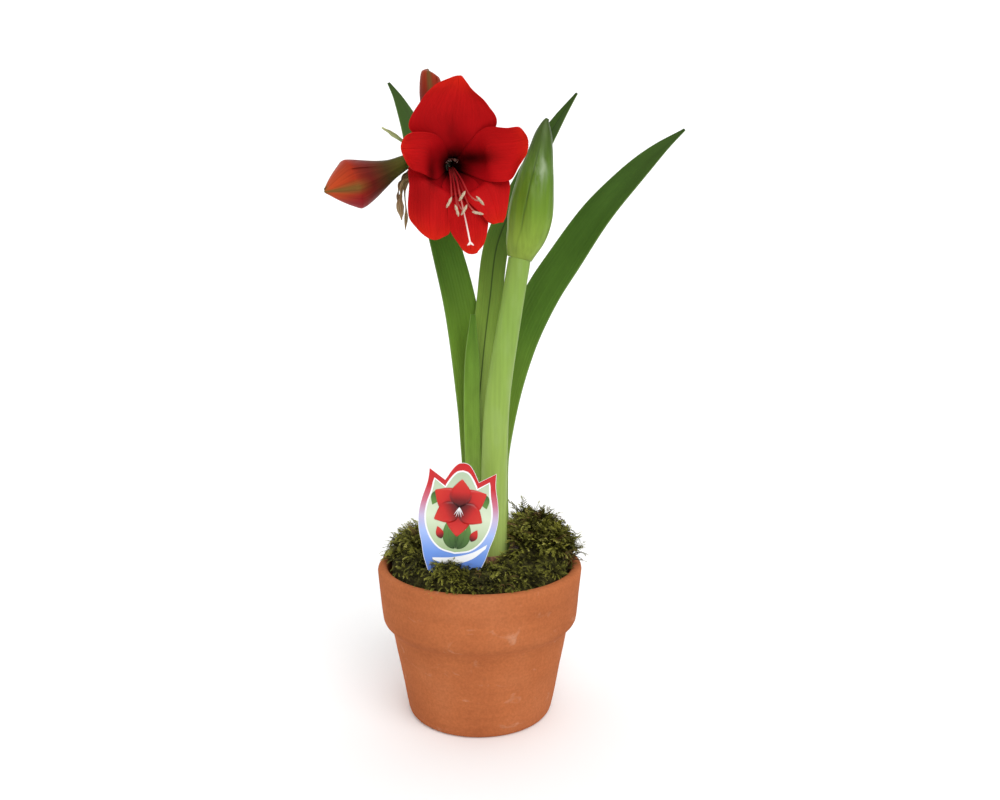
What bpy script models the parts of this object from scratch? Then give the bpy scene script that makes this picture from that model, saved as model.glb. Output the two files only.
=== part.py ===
"""Amaryllis in a terracotta pot, built at its real size.

A collared clay pot holds potting soil. The bulb sits in a hollow of the soil with its neck in a layer of
moss, and two flower stalks and four strap leaves stand in sockets of the neck. One stalk carries a closed
bud, the other an open bloom, an opening bloom on the left and a half open bloom at the back. A tulip-shaped
plant tag is pushed through the moss into the soil.

The pot's axis is Z, the floor is Z 0, +X is to the right and -Y is the side that the open bloom faces.
Lengths are written in centimetres and placed in metres.
"""

import math

import bmesh
import bpy
from mathutils import Matrix, Vector, noise

CM = 0.01
GAP = 0.03  # the clearance between touching pieces

RIM_RADIUS = 8.5
POT_HEIGHT = 12.7
BASE_RADIUS = 6.0
COLLAR_DROP = 4.4  # from the lip to where the collar starts to slope in
DRAIN_RADIUS = 0.9
POT_STEPS = 40
SOIL_STEPS = 30
BULB_STEPS = 20

SOIL_TOP = 11.0
MOSS_OUTER = 7.45
MOSS_INNER = 3.3

NECK_CENTRE = (0.4, 0.3)
NECK_RADIUS = 3.0
NECK_TOP = 14.0
BULB_BOTTOM = 5.0
SOCKET_BOTTOM = 12.8

HEAD_CENTRE = Vector((-3.3, 1.9, 45.0))  # the swelling where the flower pedicels meet
HEAD_RADIUS = 0.95

LEAF_THICKNESS = 0.2
TEPAL_THICKNESS = 0.1
TAG_THICKNESS = 0.08

CURVE_SAMPLES = 20  # steps between two points of a smooth curve


def clear_scene():
    for obj in list(bpy.data.objects):
        bpy.data.objects.remove(obj)


def material(name, colour, roughness):
    made = bpy.data.materials.new(name)
    made.use_nodes = True
    shader = made.node_tree.nodes["Principled BSDF"]
    shader.inputs["Base Color"].default_value = (*colour, 1.0)
    shader.inputs["Roughness"].default_value = roughness
    shader.inputs["Metallic"].default_value = 0.0
    made.diffuse_color = (*colour, 1.0)
    return made


def collection(name):
    made = bpy.data.collections.new(name)
    bpy.context.scene.collection.children.link(made)
    return made


def place(name, data, group, skin=None):
    obj = bpy.data.objects.new(name, data)
    group.objects.link(obj)
    if skin:
        data.materials.append(skin)
    return obj


def baked(obj, name=None, weld=1e-6):
    """Swaps an object for the mesh that its modifiers or its curve give."""
    graph = bpy.context.evaluated_depsgraph_get()
    data = bpy.data.meshes.new_from_object(obj.evaluated_get(graph))
    data.transform(obj.matrix_world)
    welder = bmesh.new()
    welder.from_mesh(data)
    if weld:
        bmesh.ops.remove_doubles(welder, verts=welder.verts, dist=weld)
        bmesh.ops.recalc_face_normals(welder, faces=welder.faces)
    welder.to_mesh(data)
    welder.free()
    group = obj.users_collection[0]
    name = name or obj.name
    bpy.data.objects.remove(obj)
    return place(name, data, group)


def smooth_path(points, count):
    """Count + 1 points, evenly spaced along a Catmull-Rom curve through the given ones."""
    ends = [points[0] * 2 - points[1], *points, points[-1] * 2 - points[-2]]
    fine = []
    for k in range(1, len(ends) - 2):
        p0, p1, p2, p3 = ends[k - 1 : k + 3]
        for i in range(CURVE_SAMPLES):
            t = i / CURVE_SAMPLES
            fine.append(
                0.5
                * (
                    2 * p1
                    + (p2 - p0) * t
                    + (2 * p0 - 5 * p1 + 4 * p2 - p3) * t**2
                    + (3 * p1 - p0 - 3 * p2 + p3) * t**3
                )
            )
    fine.append(points[-1].copy())
    reach = [0.0]
    for a, b in zip(fine, fine[1:]):
        reach.append(reach[-1] + (b - a).length)
    path, k = [], 0
    for i in range(count + 1):
        goal = reach[-1] * i / count
        while k < len(fine) - 2 and reach[k + 1] < goal:
            k += 1
        span = max(reach[k + 1] - reach[k], 1e-9)
        path.append(fine[k].lerp(fine[k + 1], min(1.0, (goal - reach[k]) / span)))
    return path


def eased(values, t):
    """A smooth value at t between 0 and 1, from evenly spaced ones."""
    curve = smooth_path([Vector((i, v, 0)) for i, v in enumerate(values)], 8 * len(values))
    goal = t * (len(values) - 1)
    for a, b in zip(curve, curve[1:]):
        if b.x >= goal:
            return a.y + (b.y - a.y) * (goal - a.x) / max(b.x - a.x, 1e-9)
    return values[-1]


def sheet_mesh(name, rows):
    """An open surface through rows of points, in triangles that run the same way on both faces."""
    data = bpy.data.meshes.new(name)
    wide = len(rows[0])
    faces = []
    for i in range(len(rows) - 1):
        for j in range(wide - 1):
            a, b = i * wide + j, i * wide + j + 1
            c, d = b + wide, a + wide
            faces += [(a, b, c), (a, c, d)] if j < wide // 2 else [(a, b, d), (b, c, d)]
    data.from_pydata([p * CM for row in rows for p in row], [], faces)
    return data


def thick_sheet(name, rows, thickness, group):
    obj = place(name, sheet_mesh(name, rows), group)
    shell = obj.modifiers.new("thickness", "SOLIDIFY")
    shell.thickness = thickness * CM
    shell.offset = 0.0
    shell.use_even_offset = False
    return baked(obj)


def ringed_mesh(name, rings):
    """A closed solid through rings of points, each with the same count, with a fan at each end."""
    data = bpy.data.meshes.new(name)
    sides = len(rings[0])
    points = [p * CM for ring in rings for p in ring]
    faces = []
    for i in range(len(rings) - 1):
        for j in range(sides):
            a, b = i * sides + j, i * sides + (j + 1) % sides
            faces += [(a, b, b + sides), (a, b + sides, a + sides)]
    for first, ring, turn in ((0, rings[0], -1), ((len(rings) - 1) * sides, rings[-1], 1)):
        centre = len(points)
        points.append(sum(ring, Vector()) / sides * CM)
        for j in range(sides):
            pair = (first + j, first + (j + 1) % sides)
            faces.append((*pair[::turn], centre))
    data.from_pydata(points, [], faces)
    return data


def frame_along(path, i):
    ahead = path[min(i + 1, len(path) - 1)] - path[max(i - 1, 0)]
    return ahead.normalized()


def round_rings(path, radii, sides, squash):
    """Rings round a path, with radii spaced evenly along it. Squash narrows them from front to back."""
    rings = []
    for i, point in enumerate(path):
        along = frame_along(path, i)
        side = (Vector((1, 0, 0)) - along * along.x).normalized()
        other = along.cross(side)
        radius = eased(radii, i / (len(path) - 1))
        ring = []
        for j in range(sides):
            turn = 2 * math.pi * j / sides
            ring.append(point + radius * (side * math.cos(turn) + other * math.sin(turn) * squash))
        rings.append(ring)
    return rings


def round_stem(name, points, radii, count, group, resolution=2):
    """A tapering round stem, as a curve with a bevel, with radii in centimetres spaced evenly along it."""
    curve = bpy.data.curves.new(name, "CURVE")
    curve.dimensions = "3D"
    curve.bevel_depth = CM
    curve.bevel_resolution = resolution
    curve.use_fill_caps = True
    path = smooth_path([Vector(p) for p in points], count)
    line = curve.splines.new("POLY")
    line.points.add(count)
    for i, spot in enumerate(line.points):
        spot.co = (*(path[i] * CM), 1.0)
        spot.radius = eased(radii, i / count)
    stem = place(name, curve, group)
    bpy.context.view_layer.update()
    return baked(stem)


def turned(name, profile, steps, group, centre=(0.0, 0.0)):
    """A profile of (radius, height) pairs in centimetres, run down its outer side and turned about Z."""
    data = bpy.data.meshes.new(name)
    points = [(r * CM, 0.0, z * CM) for r, z in profile]
    closed = profile[0][0] > 0
    edges = [(i, i + 1) for i in range(len(points) - 1)]
    if closed:
        edges.append((len(points) - 1, 0))
    data.from_pydata(points, edges, [])
    obj = place(name, data, group)
    obj.location = (centre[0] * CM, centre[1] * CM, 0.0)
    screw = obj.modifiers.new("turn", "SCREW")
    screw.axis = "Z"
    screw.steps = screw.render_steps = steps
    screw.use_merge_vertices = True
    screw.merge_threshold = 1e-5
    screw.use_normal_calculate = True
    bpy.context.view_layer.update()
    return baked(obj)


def joined(name, pieces):
    """The Boolean union of several closed pieces, as one object."""
    first, rest = pieces[0], pieces[1:]
    helpers = collection("to_join")
    for piece in rest:
        piece.users_collection[0].objects.unlink(piece)
        helpers.objects.link(piece)
    union = first.modifiers.new("join", "BOOLEAN")
    union.operation = "UNION"
    union.operand_type = "COLLECTION"
    union.collection = helpers
    union.solver = "MANIFOLD"
    bpy.context.view_layer.update()
    made = baked(first, name, weld=0)
    for piece in rest:
        bpy.data.objects.remove(piece)
    bpy.data.collections.remove(helpers)
    keep_outer_shell(made)
    return made


def keep_outer_shell(obj):
    """Fills the small voids that a union leaves inside, by dropping every shell but the largest."""
    shells = bmesh.new()
    shells.from_mesh(obj.data)
    left, found = set(shells.verts), []
    while left:
        shell, edge = set(), [left.pop()]
        while edge:
            vert = edge.pop()
            shell.add(vert)
            for link in vert.link_edges:
                other = link.other_vert(vert)
                if other in left:
                    left.remove(other)
                    edge.append(other)
        found.append(shell)
    largest = max(found, key=len)
    bmesh.ops.delete(shells, geom=[v for v in shells.verts if v not in largest], context="VERTS")
    shells.to_mesh(obj.data)
    shells.free()


def cut(obj, cutters):
    for cutter in cutters:
        hole = obj.modifiers.new("cut", "BOOLEAN")
        hole.operation = "DIFFERENCE"
        hole.object = cutter
        hole.solver = "EXACT"
        bpy.context.view_layer.update()
        obj = baked(obj)
    return obj


def hide_cutters(cutters):
    for cutter in cutters:
        cutter.hide_render = True
        cutter.display_type = "WIRE"


def finish_piece(obj, skin, sharp_degrees=35):
    obj.data.materials.clear()
    obj.data.materials.append(skin)
    obj.data.shade_smooth()
    obj.data.set_sharp_from_angle(angle=math.radians(sharp_degrees))
    return obj


# Pot and soil

POT_OUTSIDE = [
    (7.85, POT_HEIGHT),
    (8.25, POT_HEIGHT - 0.02),
    (8.45, POT_HEIGHT - 0.12),
    (RIM_RADIUS, POT_HEIGHT - 0.35),
    (8.12, POT_HEIGHT - COLLAR_DROP),
    (7.98, POT_HEIGHT - COLLAR_DROP - 0.35),
    (7.38, POT_HEIGHT - COLLAR_DROP - 1.05),
    (BASE_RADIUS + 0.08, 0.6),
    (BASE_RADIUS - 0.05, 0.2),
    (BASE_RADIUS - 0.35, 0.0),
    (DRAIN_RADIUS, 0.0),
]
POT_INSIDE = [(5.0, 1.1), (5.45, 1.5), (6.7, 7.2), (7.45, POT_HEIGHT - 2.4), (7.68, POT_HEIGHT - 0.25)]


def wall_radius(height):
    """The radius of the pot's inner wall at a height."""
    for (r0, z0), (r1, z1) in zip(POT_INSIDE, POT_INSIDE[1:]):
        if height <= z1:
            return r0 + (r1 - r0) * max(0.0, height - z0) / (z1 - z0)
    return POT_INSIDE[-1][0]


def make_pot(group, skin):
    profile = [*POT_OUTSIDE, (DRAIN_RADIUS, 1.0), *POT_INSIDE]
    return finish_piece(turned("pot", profile, POT_STEPS, group), skin)


def bulb_profile(grow):
    return [
        (0.0, NECK_TOP + grow),
        (NECK_RADIUS - 0.25 + grow, NECK_TOP + grow),
        (NECK_RADIUS + grow, NECK_TOP - 0.3),
        (NECK_RADIUS + 0.15 + grow, 11.1),
        (4.1 + grow, 10.1),
        (4.75 + grow, 9.0),
        (4.8 + grow, 8.0),
        (4.2 + grow, 6.6),
        (2.9 + grow, 5.5),
        (1.8 + grow, BULB_BOTTOM - grow),
        (0.0, BULB_BOTTOM - grow),
    ]


def make_soil(group, skin, cutters):
    gap = 2 * GAP
    profile = [
        (0.0, SOIL_TOP),
        (wall_radius(SOIL_TOP) - gap, SOIL_TOP),
        (wall_radius(7.2) - gap, 7.2),
        (wall_radius(1.5) - gap, 1.5 + gap),
        (4.9, 1.1 + gap),
        (0.0, 1.1 + gap),
    ]
    soil = cut(turned("soil", profile, SOIL_STEPS, group), cutters)
    return finish_piece(soil, skin)


# Leaves: thick strap blades, channelled and clasping at the bulb, flat and arching above

LEAVES = {
    "leaf_left": dict(
        spine=[
            (-0.5, 1.15, SOCKET_BOTTOM), (-0.5, 1.15, 14.6), (-0.47, 1.1, 18.5), (-0.5, 1.0, 22.0),
            (-0.6, 0.9, 26.0), (-0.98, 0.8, 30.0), (-1.62, 0.45, 34.3), (-2.65, 0.15, 38.6),
            (-3.75, 0.0, 42.0), (-4.7, 0.0, 45.2), (-5.35, 0.5, 48.0), (-6.3, 1.0, 50.2), (-7.15, 1.2, 51.6),
        ],
        half_widths=[0.8, 0.85, 1.0, 1.2, 1.38, 1.42, 1.4, 1.3, 1.05, 0.95, 0.8, 0.12],
        faces=((0.0, -1.0, 0.0), (0.55, -1.0, 0.25)),
        channel=(0.28, 0.07),
        wave=0.05,
    ),
    "leaf_short": dict(
        spine=[
            (-0.45, -0.3, SOCKET_BOTTOM), (-0.45, -0.3, 14.6), (-0.5, -0.4, 18.5),
            (-0.55, -0.5, 22.0), (-0.65, -0.6, 26.0), (-0.6, -0.65, 30.0), (-0.5, -0.7, 33.4),
        ],
        half_widths=[0.6, 0.62, 0.66, 0.68, 0.66, 0.6, 0.2],
        faces=((0.0, -1.0, 0.0), (0.35, -1.0, 0.1)),
        channel=(0.3, 0.3),
        wave=0.0,
    ),
    "leaf_centre": dict(
        spine=[
            (-0.1, 0.42, SOCKET_BOTTOM), (-0.1, 0.42, 14.6), (-0.15, 0.3, 18.5), (-0.15, 0.1, 22.0),
            (0.0, 0.0, 26.0), (0.4, -0.1, 30.5), (0.9, 0.15, 34.6), (1.5, 1.2, 39.0),
            (3.1, 2.5, 42.8), (4.9, 3.2, 46.4), (6.5, 3.3, 49.1), (7.95, 3.2, 51.2),
        ],
        half_widths=[0.8, 0.8, 0.82, 0.86, 0.92, 1.0, 1.1, 1.15, 1.12, 1.0, 0.72, 0.1],
        faces=((-0.1, -1.0, 0.0), (-0.75, -1.0, 0.15)),
        channel=(0.3, 0.16),
        wave=0.04,
    ),
    "leaf_right": dict(
        spine=[
            (1.65, 0.85, SOCKET_BOTTOM), (1.65, 0.85, 14.6), (1.45, 1.4, 18.5), (1.45, 1.75, 22.0),
            (2.1, 1.9, 26.6), (3.35, 2.0, 31.0), (5.1, 2.0, 34.8), (7.0, 1.6, 37.8),
            (9.4, 1.1, 41.3), (11.9, 0.8, 44.1), (14.2, 0.5, 46.3), (16.25, 0.3, 47.9),
        ],
        half_widths=[0.8, 0.85, 1.0, 1.25, 1.4, 1.46, 1.46, 1.38, 1.2, 0.85, 0.1],
        faces=((0.1, -1.0, 0.0), (-0.3, -1.0, 0.35)),
        channel=(0.25, 0.08),
        wave=0.05,
    ),
}
LEAF_ROWS = 20
LEAF_COLUMNS = (-1.0, -0.72, -0.36, 0.0, 0.36, 0.72, 1.0)


def leaf_rows(spine, half_widths, faces, channel, wave, count=LEAF_ROWS, grow=0.0):
    """The blade's middle surface. Channel is how deep it is hollowed, as a share of its width."""
    path = smooth_path([Vector(p) for p in spine], count)
    rows = []
    for i, point in enumerate(path):
        t = i / count
        along = frame_along(path, i)
        face = Vector(faces[0]).lerp(Vector(faces[1]), t)
        face = (face - along * face.dot(along)).normalized()
        side = along.cross(face)
        half = eased(half_widths, t) + grow
        deep = (channel[0] + (channel[1] - channel[0]) * min(1.0, 1.6 * t)) * half
        ripple = wave * math.sin(math.pi * t) * math.sin(9.0 * t)
        rows.append(
            [point + side * half * v + face * (deep * v * v + ripple * v**3 * 2) for v in LEAF_COLUMNS]
        )
    return rows


def make_leaf(name, facts, group, skin):
    blade = thick_sheet(name, leaf_rows(**facts), LEAF_THICKNESS, group)
    return finish_piece(blade, skin, 50)


def leaf_socket(name, facts, group):
    """A straight slot that the foot of a leaf stands in."""
    foot, top = Vector(facts["spine"][0]), Vector(facts["spine"][1])
    spine = [foot - Vector((0, 0, GAP)), (foot + top) / 2, top + Vector((0, 0, 1.0))]
    plan = dict(facts, spine=spine, half_widths=facts["half_widths"][:1] * 3, wave=0.0)
    plan["channel"] = (facts["channel"][0], facts["channel"][0])
    plan["faces"] = (facts["faces"][0], facts["faces"][0])
    return thick_sheet(name + "_socket", leaf_rows(count=2, grow=0.1, **plan), LEAF_THICKNESS + 0.14, group)


# Flower stalks

SCAPE_SIDES = 16
SCAPES = {
    "scape_bud": dict(
        points=[
            (1.2, -1.25, SOCKET_BOTTOM), (1.2, -1.25, 14.6), (1.18, -1.4, 18.5), (1.25, -1.65, 22.5),
            (1.45, -1.9, 26.3), (1.85, -2.0, 29.5), (2.5, -2.0, 33.5), (3.2, -2.0, 37.75),
        ],
        radii=[1.05, 1.06, 1.06, 1.04, 0.99, 0.95, 0.9, 0.88],
    ),
    "scape_open": dict(
        points=[
            (-0.4, 2.25, SOCKET_BOTTOM), (-0.4, 2.25, 14.6), (-0.5, 2.3, 18.5), (-0.65, 2.3, 24.0),
            (-0.95, 2.2, 30.0), (-1.6, 2.1, 35.5), (-2.45, 2.0, 40.0), tuple(HEAD_CENTRE),
        ],
        radii=[0.82, 0.84, 0.84, 0.82, 0.8, 0.78, 0.76, 0.78],
    ),
}


def scape_socket(name, facts, group):
    x, y, _ = facts["points"][0]
    centre = (x * CM, y * CM, (SOCKET_BOTTOM - GAP + 1.0) * CM)
    bpy.ops.mesh.primitive_cylinder_add(
        vertices=SCAPE_SIDES, radius=(facts["radii"][0] + 0.06) * CM, depth=2.0 * CM, location=centre
    )
    socket = bpy.context.object
    socket.name = name + "_socket"
    socket.users_collection[0].objects.unlink(socket)
    group.objects.link(socket)
    return socket


# Umbel of three blooms: each is a funnel of six tepals round its own axis

UP = Vector((0, 0, 1))


class Bloom:
    """Where a bloom sits: its foot on the seed case, its axis out of its mouth, and how full it is."""

    def __init__(self, foot, axis, fullness=1.0):
        self.foot = Vector(foot)
        self.axis = Vector(axis).normalized()
        self.top = (UP - self.axis * UP.dot(self.axis)).normalized()
        self.side = self.top.cross(self.axis)
        self.fullness = fullness

    def at(self, along, out, degrees):
        """The point so far along the axis and out from it, at an angle clockwise from the top."""
        turn = math.radians(degrees)
        spoke = self.top * math.cos(turn) + self.side * math.sin(turn)
        return self.foot + self.axis * along + spoke * out


FRONT_BLOOM = Bloom(foot=(-2.4, -1.0, 44.85), axis=(0.22, -0.97, -0.09))
LEFT_BLOOM = Bloom(foot=(-5.7, 0.55, 45.5), axis=(-0.86, -0.36, -0.36))
BACK_BLOOM = Bloom(foot=(-3.4, 3.0, 45.95), axis=(-0.10, 0.20, 0.975), fullness=0.68)
TEPAL_ROWS = 8
TEPAL_COLUMNS = (-1.0, -0.68, -0.32, 0.0, 0.32, 0.68, 1.0)

# The open bloom's tepals: down in the tube each takes an arc of the funnel, and its spread blade is given
# by rows of (edge, midrib, edge), clockwise, from the funnel's mouth to the tip

FUNNEL = [(0.0, 0.44), (1.4, 0.60), (2.8, 1.05), (4.3, 2.0)]  # (along, out)
OUTER_ARC = 52.0
INNER_ARC = 45.0
INNER_LIFT = 0.14  # how far the inner whorl lies inside the outer one
SPREAD_TEPALS = [
    dict(
        angle=3, inner=False, ripple=0.3,
        blade=[
            [(-4.72, -7.58, 46.81), (-1.74, -6.57, 47.66), (1.46, -6.22, 47.30)],
            [(-3.73, -8.24, 48.66), (-1.41, -7.44, 49.01), (0.83, -7.19, 48.44)],
            [(-2.67, -8.41, 49.69), (-1.24, -7.89, 49.86), (0.01, -7.77, 49.35)],
            [(-1.65, -8.11, 50.09), (-1.16, -8.02, 50.30), (-0.89, -7.94, 50.05)],
        ],
    ),
    dict(
        angle=128, inner=False, ripple=1.7,
        blade=[
            [(2.26, -5.59, 43.58), (0.66, -5.59, 43.01), (-0.79, -6.13, 41.96)],
            [(2.33, -6.14, 41.96), (1.24, -6.15, 41.60), (0.23, -6.53, 41.01)],
            [(2.11, -6.50, 40.87), (1.46, -6.54, 40.72), (0.74, -6.78, 40.43)],
            [(1.90, -6.61, 40.36), (1.54, -6.69, 40.29), (1.17, -6.76, 40.21)],
        ],
    ),
    dict(
        angle=213, inner=False, ripple=2.9,
        blade=[
            [(-1.70, -5.95, 42.30), (-3.30, -6.05, 43.10), (-4.80, -6.65, 44.30)],
            [(-1.95, -6.36, 41.59), (-3.39, -6.41, 41.94), (-4.82, -7.12, 42.87)],
            [(-1.93, -6.95, 40.21), (-3.36, -7.09, 40.41), (-4.85, -7.83, 41.42)],
            [(-1.98, -7.31, 39.55), (-3.26, -7.50, 39.54), (-4.69, -8.12, 40.49)],
            [(-2.47, -7.60, 39.26), (-3.25, -7.76, 39.11), (-4.21, -8.05, 39.87)],
        ],
    ),
    dict(
        angle=72, inner=True, ripple=4.1,
        blade=[
            [(0.53, -6.20, 47.02), (0.88, -5.66, 45.41), (1.17, -5.71, 43.28)],
            [(2.11, -6.66, 46.95), (2.62, -6.20, 45.49), (2.40, -6.36, 43.36)],
            [(3.03, -6.86, 46.99), (3.40, -6.56, 45.72), (2.90, -6.74, 44.16)],
            [(3.46, -6.83, 46.51), (3.68, -6.71, 45.84), (3.47, -6.69, 45.07)],
        ],
    ),
    dict(
        angle=172, inner=True, ripple=5.3,
        blade=[
            [(0.51, -5.84, 41.98), (-0.88, -5.83, 41.77), (-2.16, -6.40, 41.52)],
            [(0.81, -6.34, 40.38), (-0.65, -6.34, 40.09), (-2.00, -6.94, 39.92)],
            [(0.59, -6.78, 39.00), (-0.50, -6.80, 38.79), (-1.42, -7.23, 38.92)],
            [(0.01, -6.94, 38.21), (-0.49, -7.04, 38.07), (-0.99, -7.18, 38.35)],
        ],
    ),
    dict(
        angle=284, inner=True, ripple=6.1,
        blade=[
            [(-3.97, -6.94, 44.00), (-3.55, -6.67, 45.43), (-3.08, -6.96, 46.42)],
            [(-4.53, -7.79, 44.05), (-4.59, -7.72, 45.36), (-4.34, -7.97, 46.41)],
            [(-4.83, -8.30, 44.33), (-5.09, -8.34, 45.28), (-4.92, -8.48, 46.07)],
            [(-5.01, -8.48, 44.72), (-5.20, -8.57, 45.25), (-5.13, -8.59, 45.65)],
        ],
    ),
]
RIPPLE_DEPTH = 0.12


def spread_tepal(bloom, angle, inner, ripple, blade):
    """The middle surface of an open tepal. Ripple shifts the waves of its margins."""
    arc = INNER_ARC if inner else OUTER_ARC
    lift = INNER_LIFT if inner else 0.0
    plan = []
    for along, out in FUNNEL:
        plan.append([bloom.at(along, out - lift, angle + side * arc) for side in (-1, 0, 1)])
    plan += [[Vector(p) + bloom.axis * lift for p in row] for row in blade]
    edge, midrib, far_edge = (smooth_path([row[k] for row in plan], TEPAL_ROWS) for k in range(3))
    rows = []
    for i in range(TEPAL_ROWS + 1):
        half = (far_edge[i] - edge[i]) / 2
        hollow = (far_edge[i] + edge[i]) / 2 - midrib[i]
        wave = RIPPLE_DEPTH * max(0.0, i / TEPAL_ROWS - 0.4) * math.sin(1.9 * i + ripple)
        rows.append([midrib[i] + half * v + (hollow + bloom.axis * wave) * v * v for v in TEPAL_COLUMNS])
    return rows


# The two opening blooms: three outer tepals that still wrap a solid core

OPENING_PROFILE = [
    (0.0, 0.48), (1.4, 0.68), (2.8, 1.05), (4.0, 1.50), (5.0, 1.76), (5.9, 1.58), (6.8, 0.95), (7.45, 0.2),
]
OPENING_CORE = [0.42, 0.60, 0.88, 1.24, 1.52, 1.56, 1.3, 0.75, 0.2]
CORE_LENGTH = 6.7
OPENING_TEPALS = [(20, 1.02), (140, 0.99), (262, 0.99)]  # (angle, length)
OPENING_ARC = 60.0


def folded_tepal(bloom, angle, length):
    """The middle surface of a tepal that hugs its closed bloom."""
    rows = []
    for i, spot in enumerate(smooth_path([Vector((*pair, 0)) for pair in OPENING_PROFILE], TEPAL_ROWS)):
        t = i / TEPAL_ROWS
        arc = OPENING_ARC * (1.0 - 0.6 * max(0.0, t - 0.55))
        keel = 0.06 * math.sin(math.pi * t)
        row = []
        for v in TEPAL_COLUMNS:
            out = spot.y * bloom.fullness + keel * (1.0 - abs(v)) + 0.05 * v * v
            row.append(bloom.at(spot.x * length, out, angle + arc * v))
        rows.append(row)
    return rows


def make_open_bloom(name, bloom, group, skin):
    """Six spread tepals joined to a short tube."""
    tube = [bloom.foot, bloom.at(1.2, 0, 0)]
    pieces = [round_stem(name + "_tube", tube, [0.42, 0.52, 0.55, 0.57, 0.59], 4, group, 1)]
    for k, facts in enumerate(SPREAD_TEPALS):
        pieces.append(thick_sheet(f"{name}_tepal_{k}", spread_tepal(bloom, **facts), TEPAL_THICKNESS, group))
    return finish_piece(joined(name, pieces), skin, 60)


def make_opening_bloom(name, bloom, group, skin):
    core = [bloom.foot, bloom.at(CORE_LENGTH, 0, 0)]
    radii = [OPENING_CORE[0]] + [radius * bloom.fullness for radius in OPENING_CORE[1:]]
    pieces = [round_stem(name + "_core", core, radii, 9, group)]
    for k, (angle, length) in enumerate(OPENING_TEPALS):
        rows = folded_tepal(bloom, angle, length)
        pieces.append(thick_sheet(f"{name}_tepal_{k}", rows, TEPAL_THICKNESS, group))
    return finish_piece(joined(name, pieces), skin, 60)


# Stamens and style of the open bloom: (along, sideways, down) from the foot of the bloom's axis

FILAMENT_RADIUS = 0.065
FILAMENTS = [
    [
        (1.4, -0.12, 0.05), (2.6, -0.28, 0.35), (4.4, -0.50, 1.05),
        (6.1, -0.72, 2.15), (7.2, -0.98, 2.55), (7.9, -1.20, 2.55),
    ],
    [
        (1.4, 0.00, 0.10), (2.6, -0.12, 0.45), (4.4, -0.26, 1.20),
        (6.2, -0.40, 2.45), (7.3, -0.52, 2.95), (8.0, -0.66, 3.10),
    ],
    [
        (1.4, 0.10, 0.05), (2.6, 0.02, 0.35), (4.4, -0.04, 1.00),
        (6.0, -0.14, 1.95), (7.0, -0.20, 2.20), (7.6, -0.22, 2.10),
    ],
    [
        (1.4, 0.15, 0.00), (2.6, 0.18, 0.30), (4.4, 0.30, 0.95),
        (6.0, 0.55, 1.95), (7.0, 0.82, 2.35), (7.6, 1.08, 2.40),
    ],
    [
        (1.4, 0.12, 0.12), (2.6, 0.15, 0.50), (4.4, 0.24, 1.30),
        (6.2, 0.42, 2.55), (7.2, 0.62, 3.05), (7.9, 0.86, 3.25),
    ],
    [
        (1.4, -0.12, 0.12), (2.6, -0.20, 0.52), (4.4, -0.28, 1.32),
        (6.1, -0.30, 2.50), (7.1, -0.22, 2.95), (7.8, -0.10, 3.05),
    ],
]
STYLE = [
    (1.4, 0.0, 0.15), (2.6, -0.02, 0.46), (4.3, -0.02, 1.14),
    (5.9, 0.08, 2.65), (7.0, 0.22, 4.05), (7.6, 0.40, 5.35),
]
ANTHER_LENGTH = 0.85
ANTHER_RADIUS = 0.14
ANTHER_LEANS = [(0.45, -0.9), (0.30, 0.9), (0.45, -0.7), (-0.75, -0.8), (-0.85, -0.15), (-0.5, 0.85)]


def make_stamens(name, bloom, group, skin):
    def local(spot):
        along, aside, down = spot
        return bloom.foot + bloom.axis * along + bloom.side * aside - bloom.top * down

    root = [local((1.23, 0, 0.0)), local((1.55, 0, 0.03)), local((1.95, 0, 0.08))]
    pieces = [round_stem(name + "_root", root, [0.3, 0.34, 0.25], 3, group, 0)]
    for k, spots in enumerate([*FILAMENTS, STYLE]):
        radii = [FILAMENT_RADIUS * 1.1, FILAMENT_RADIUS, FILAMENT_RADIUS * 0.9]
        pieces.append(round_stem(f"{name}_thread_{k}", [local(s) for s in spots], radii, 7, group, 0))
    for k, spots in enumerate(FILAMENTS):
        aside, down = ANTHER_LEANS[k]
        lean = (bloom.side * aside - bloom.top * down).normalized() * ANTHER_LENGTH / 2
        tip = local(spots[-1])
        radii = [0.05, ANTHER_RADIUS, ANTHER_RADIUS * 0.85, ANTHER_RADIUS, 0.05]
        pieces.append(round_stem(f"{name}_anther_{k}", [tip - lean, tip + lean], radii, 4, group, 1))
    end = local(STYLE[-1])
    for k in range(3):
        turn = math.radians(120 * k + 30)
        out = (bloom.side * math.cos(turn) + bloom.axis * math.sin(turn)) * 0.26 - bloom.top * 0.16
        lobe = [end + bloom.top * 0.05, end + out]
        pieces.append(round_stem(f"{name}_stigma_{k}", lobe, [0.075, 0.07, 0.05], 2, group, 0))
    return finish_piece(joined(name, pieces), skin)


# Dry spathe valves and a bracteole at the head of the open stalk

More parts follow.
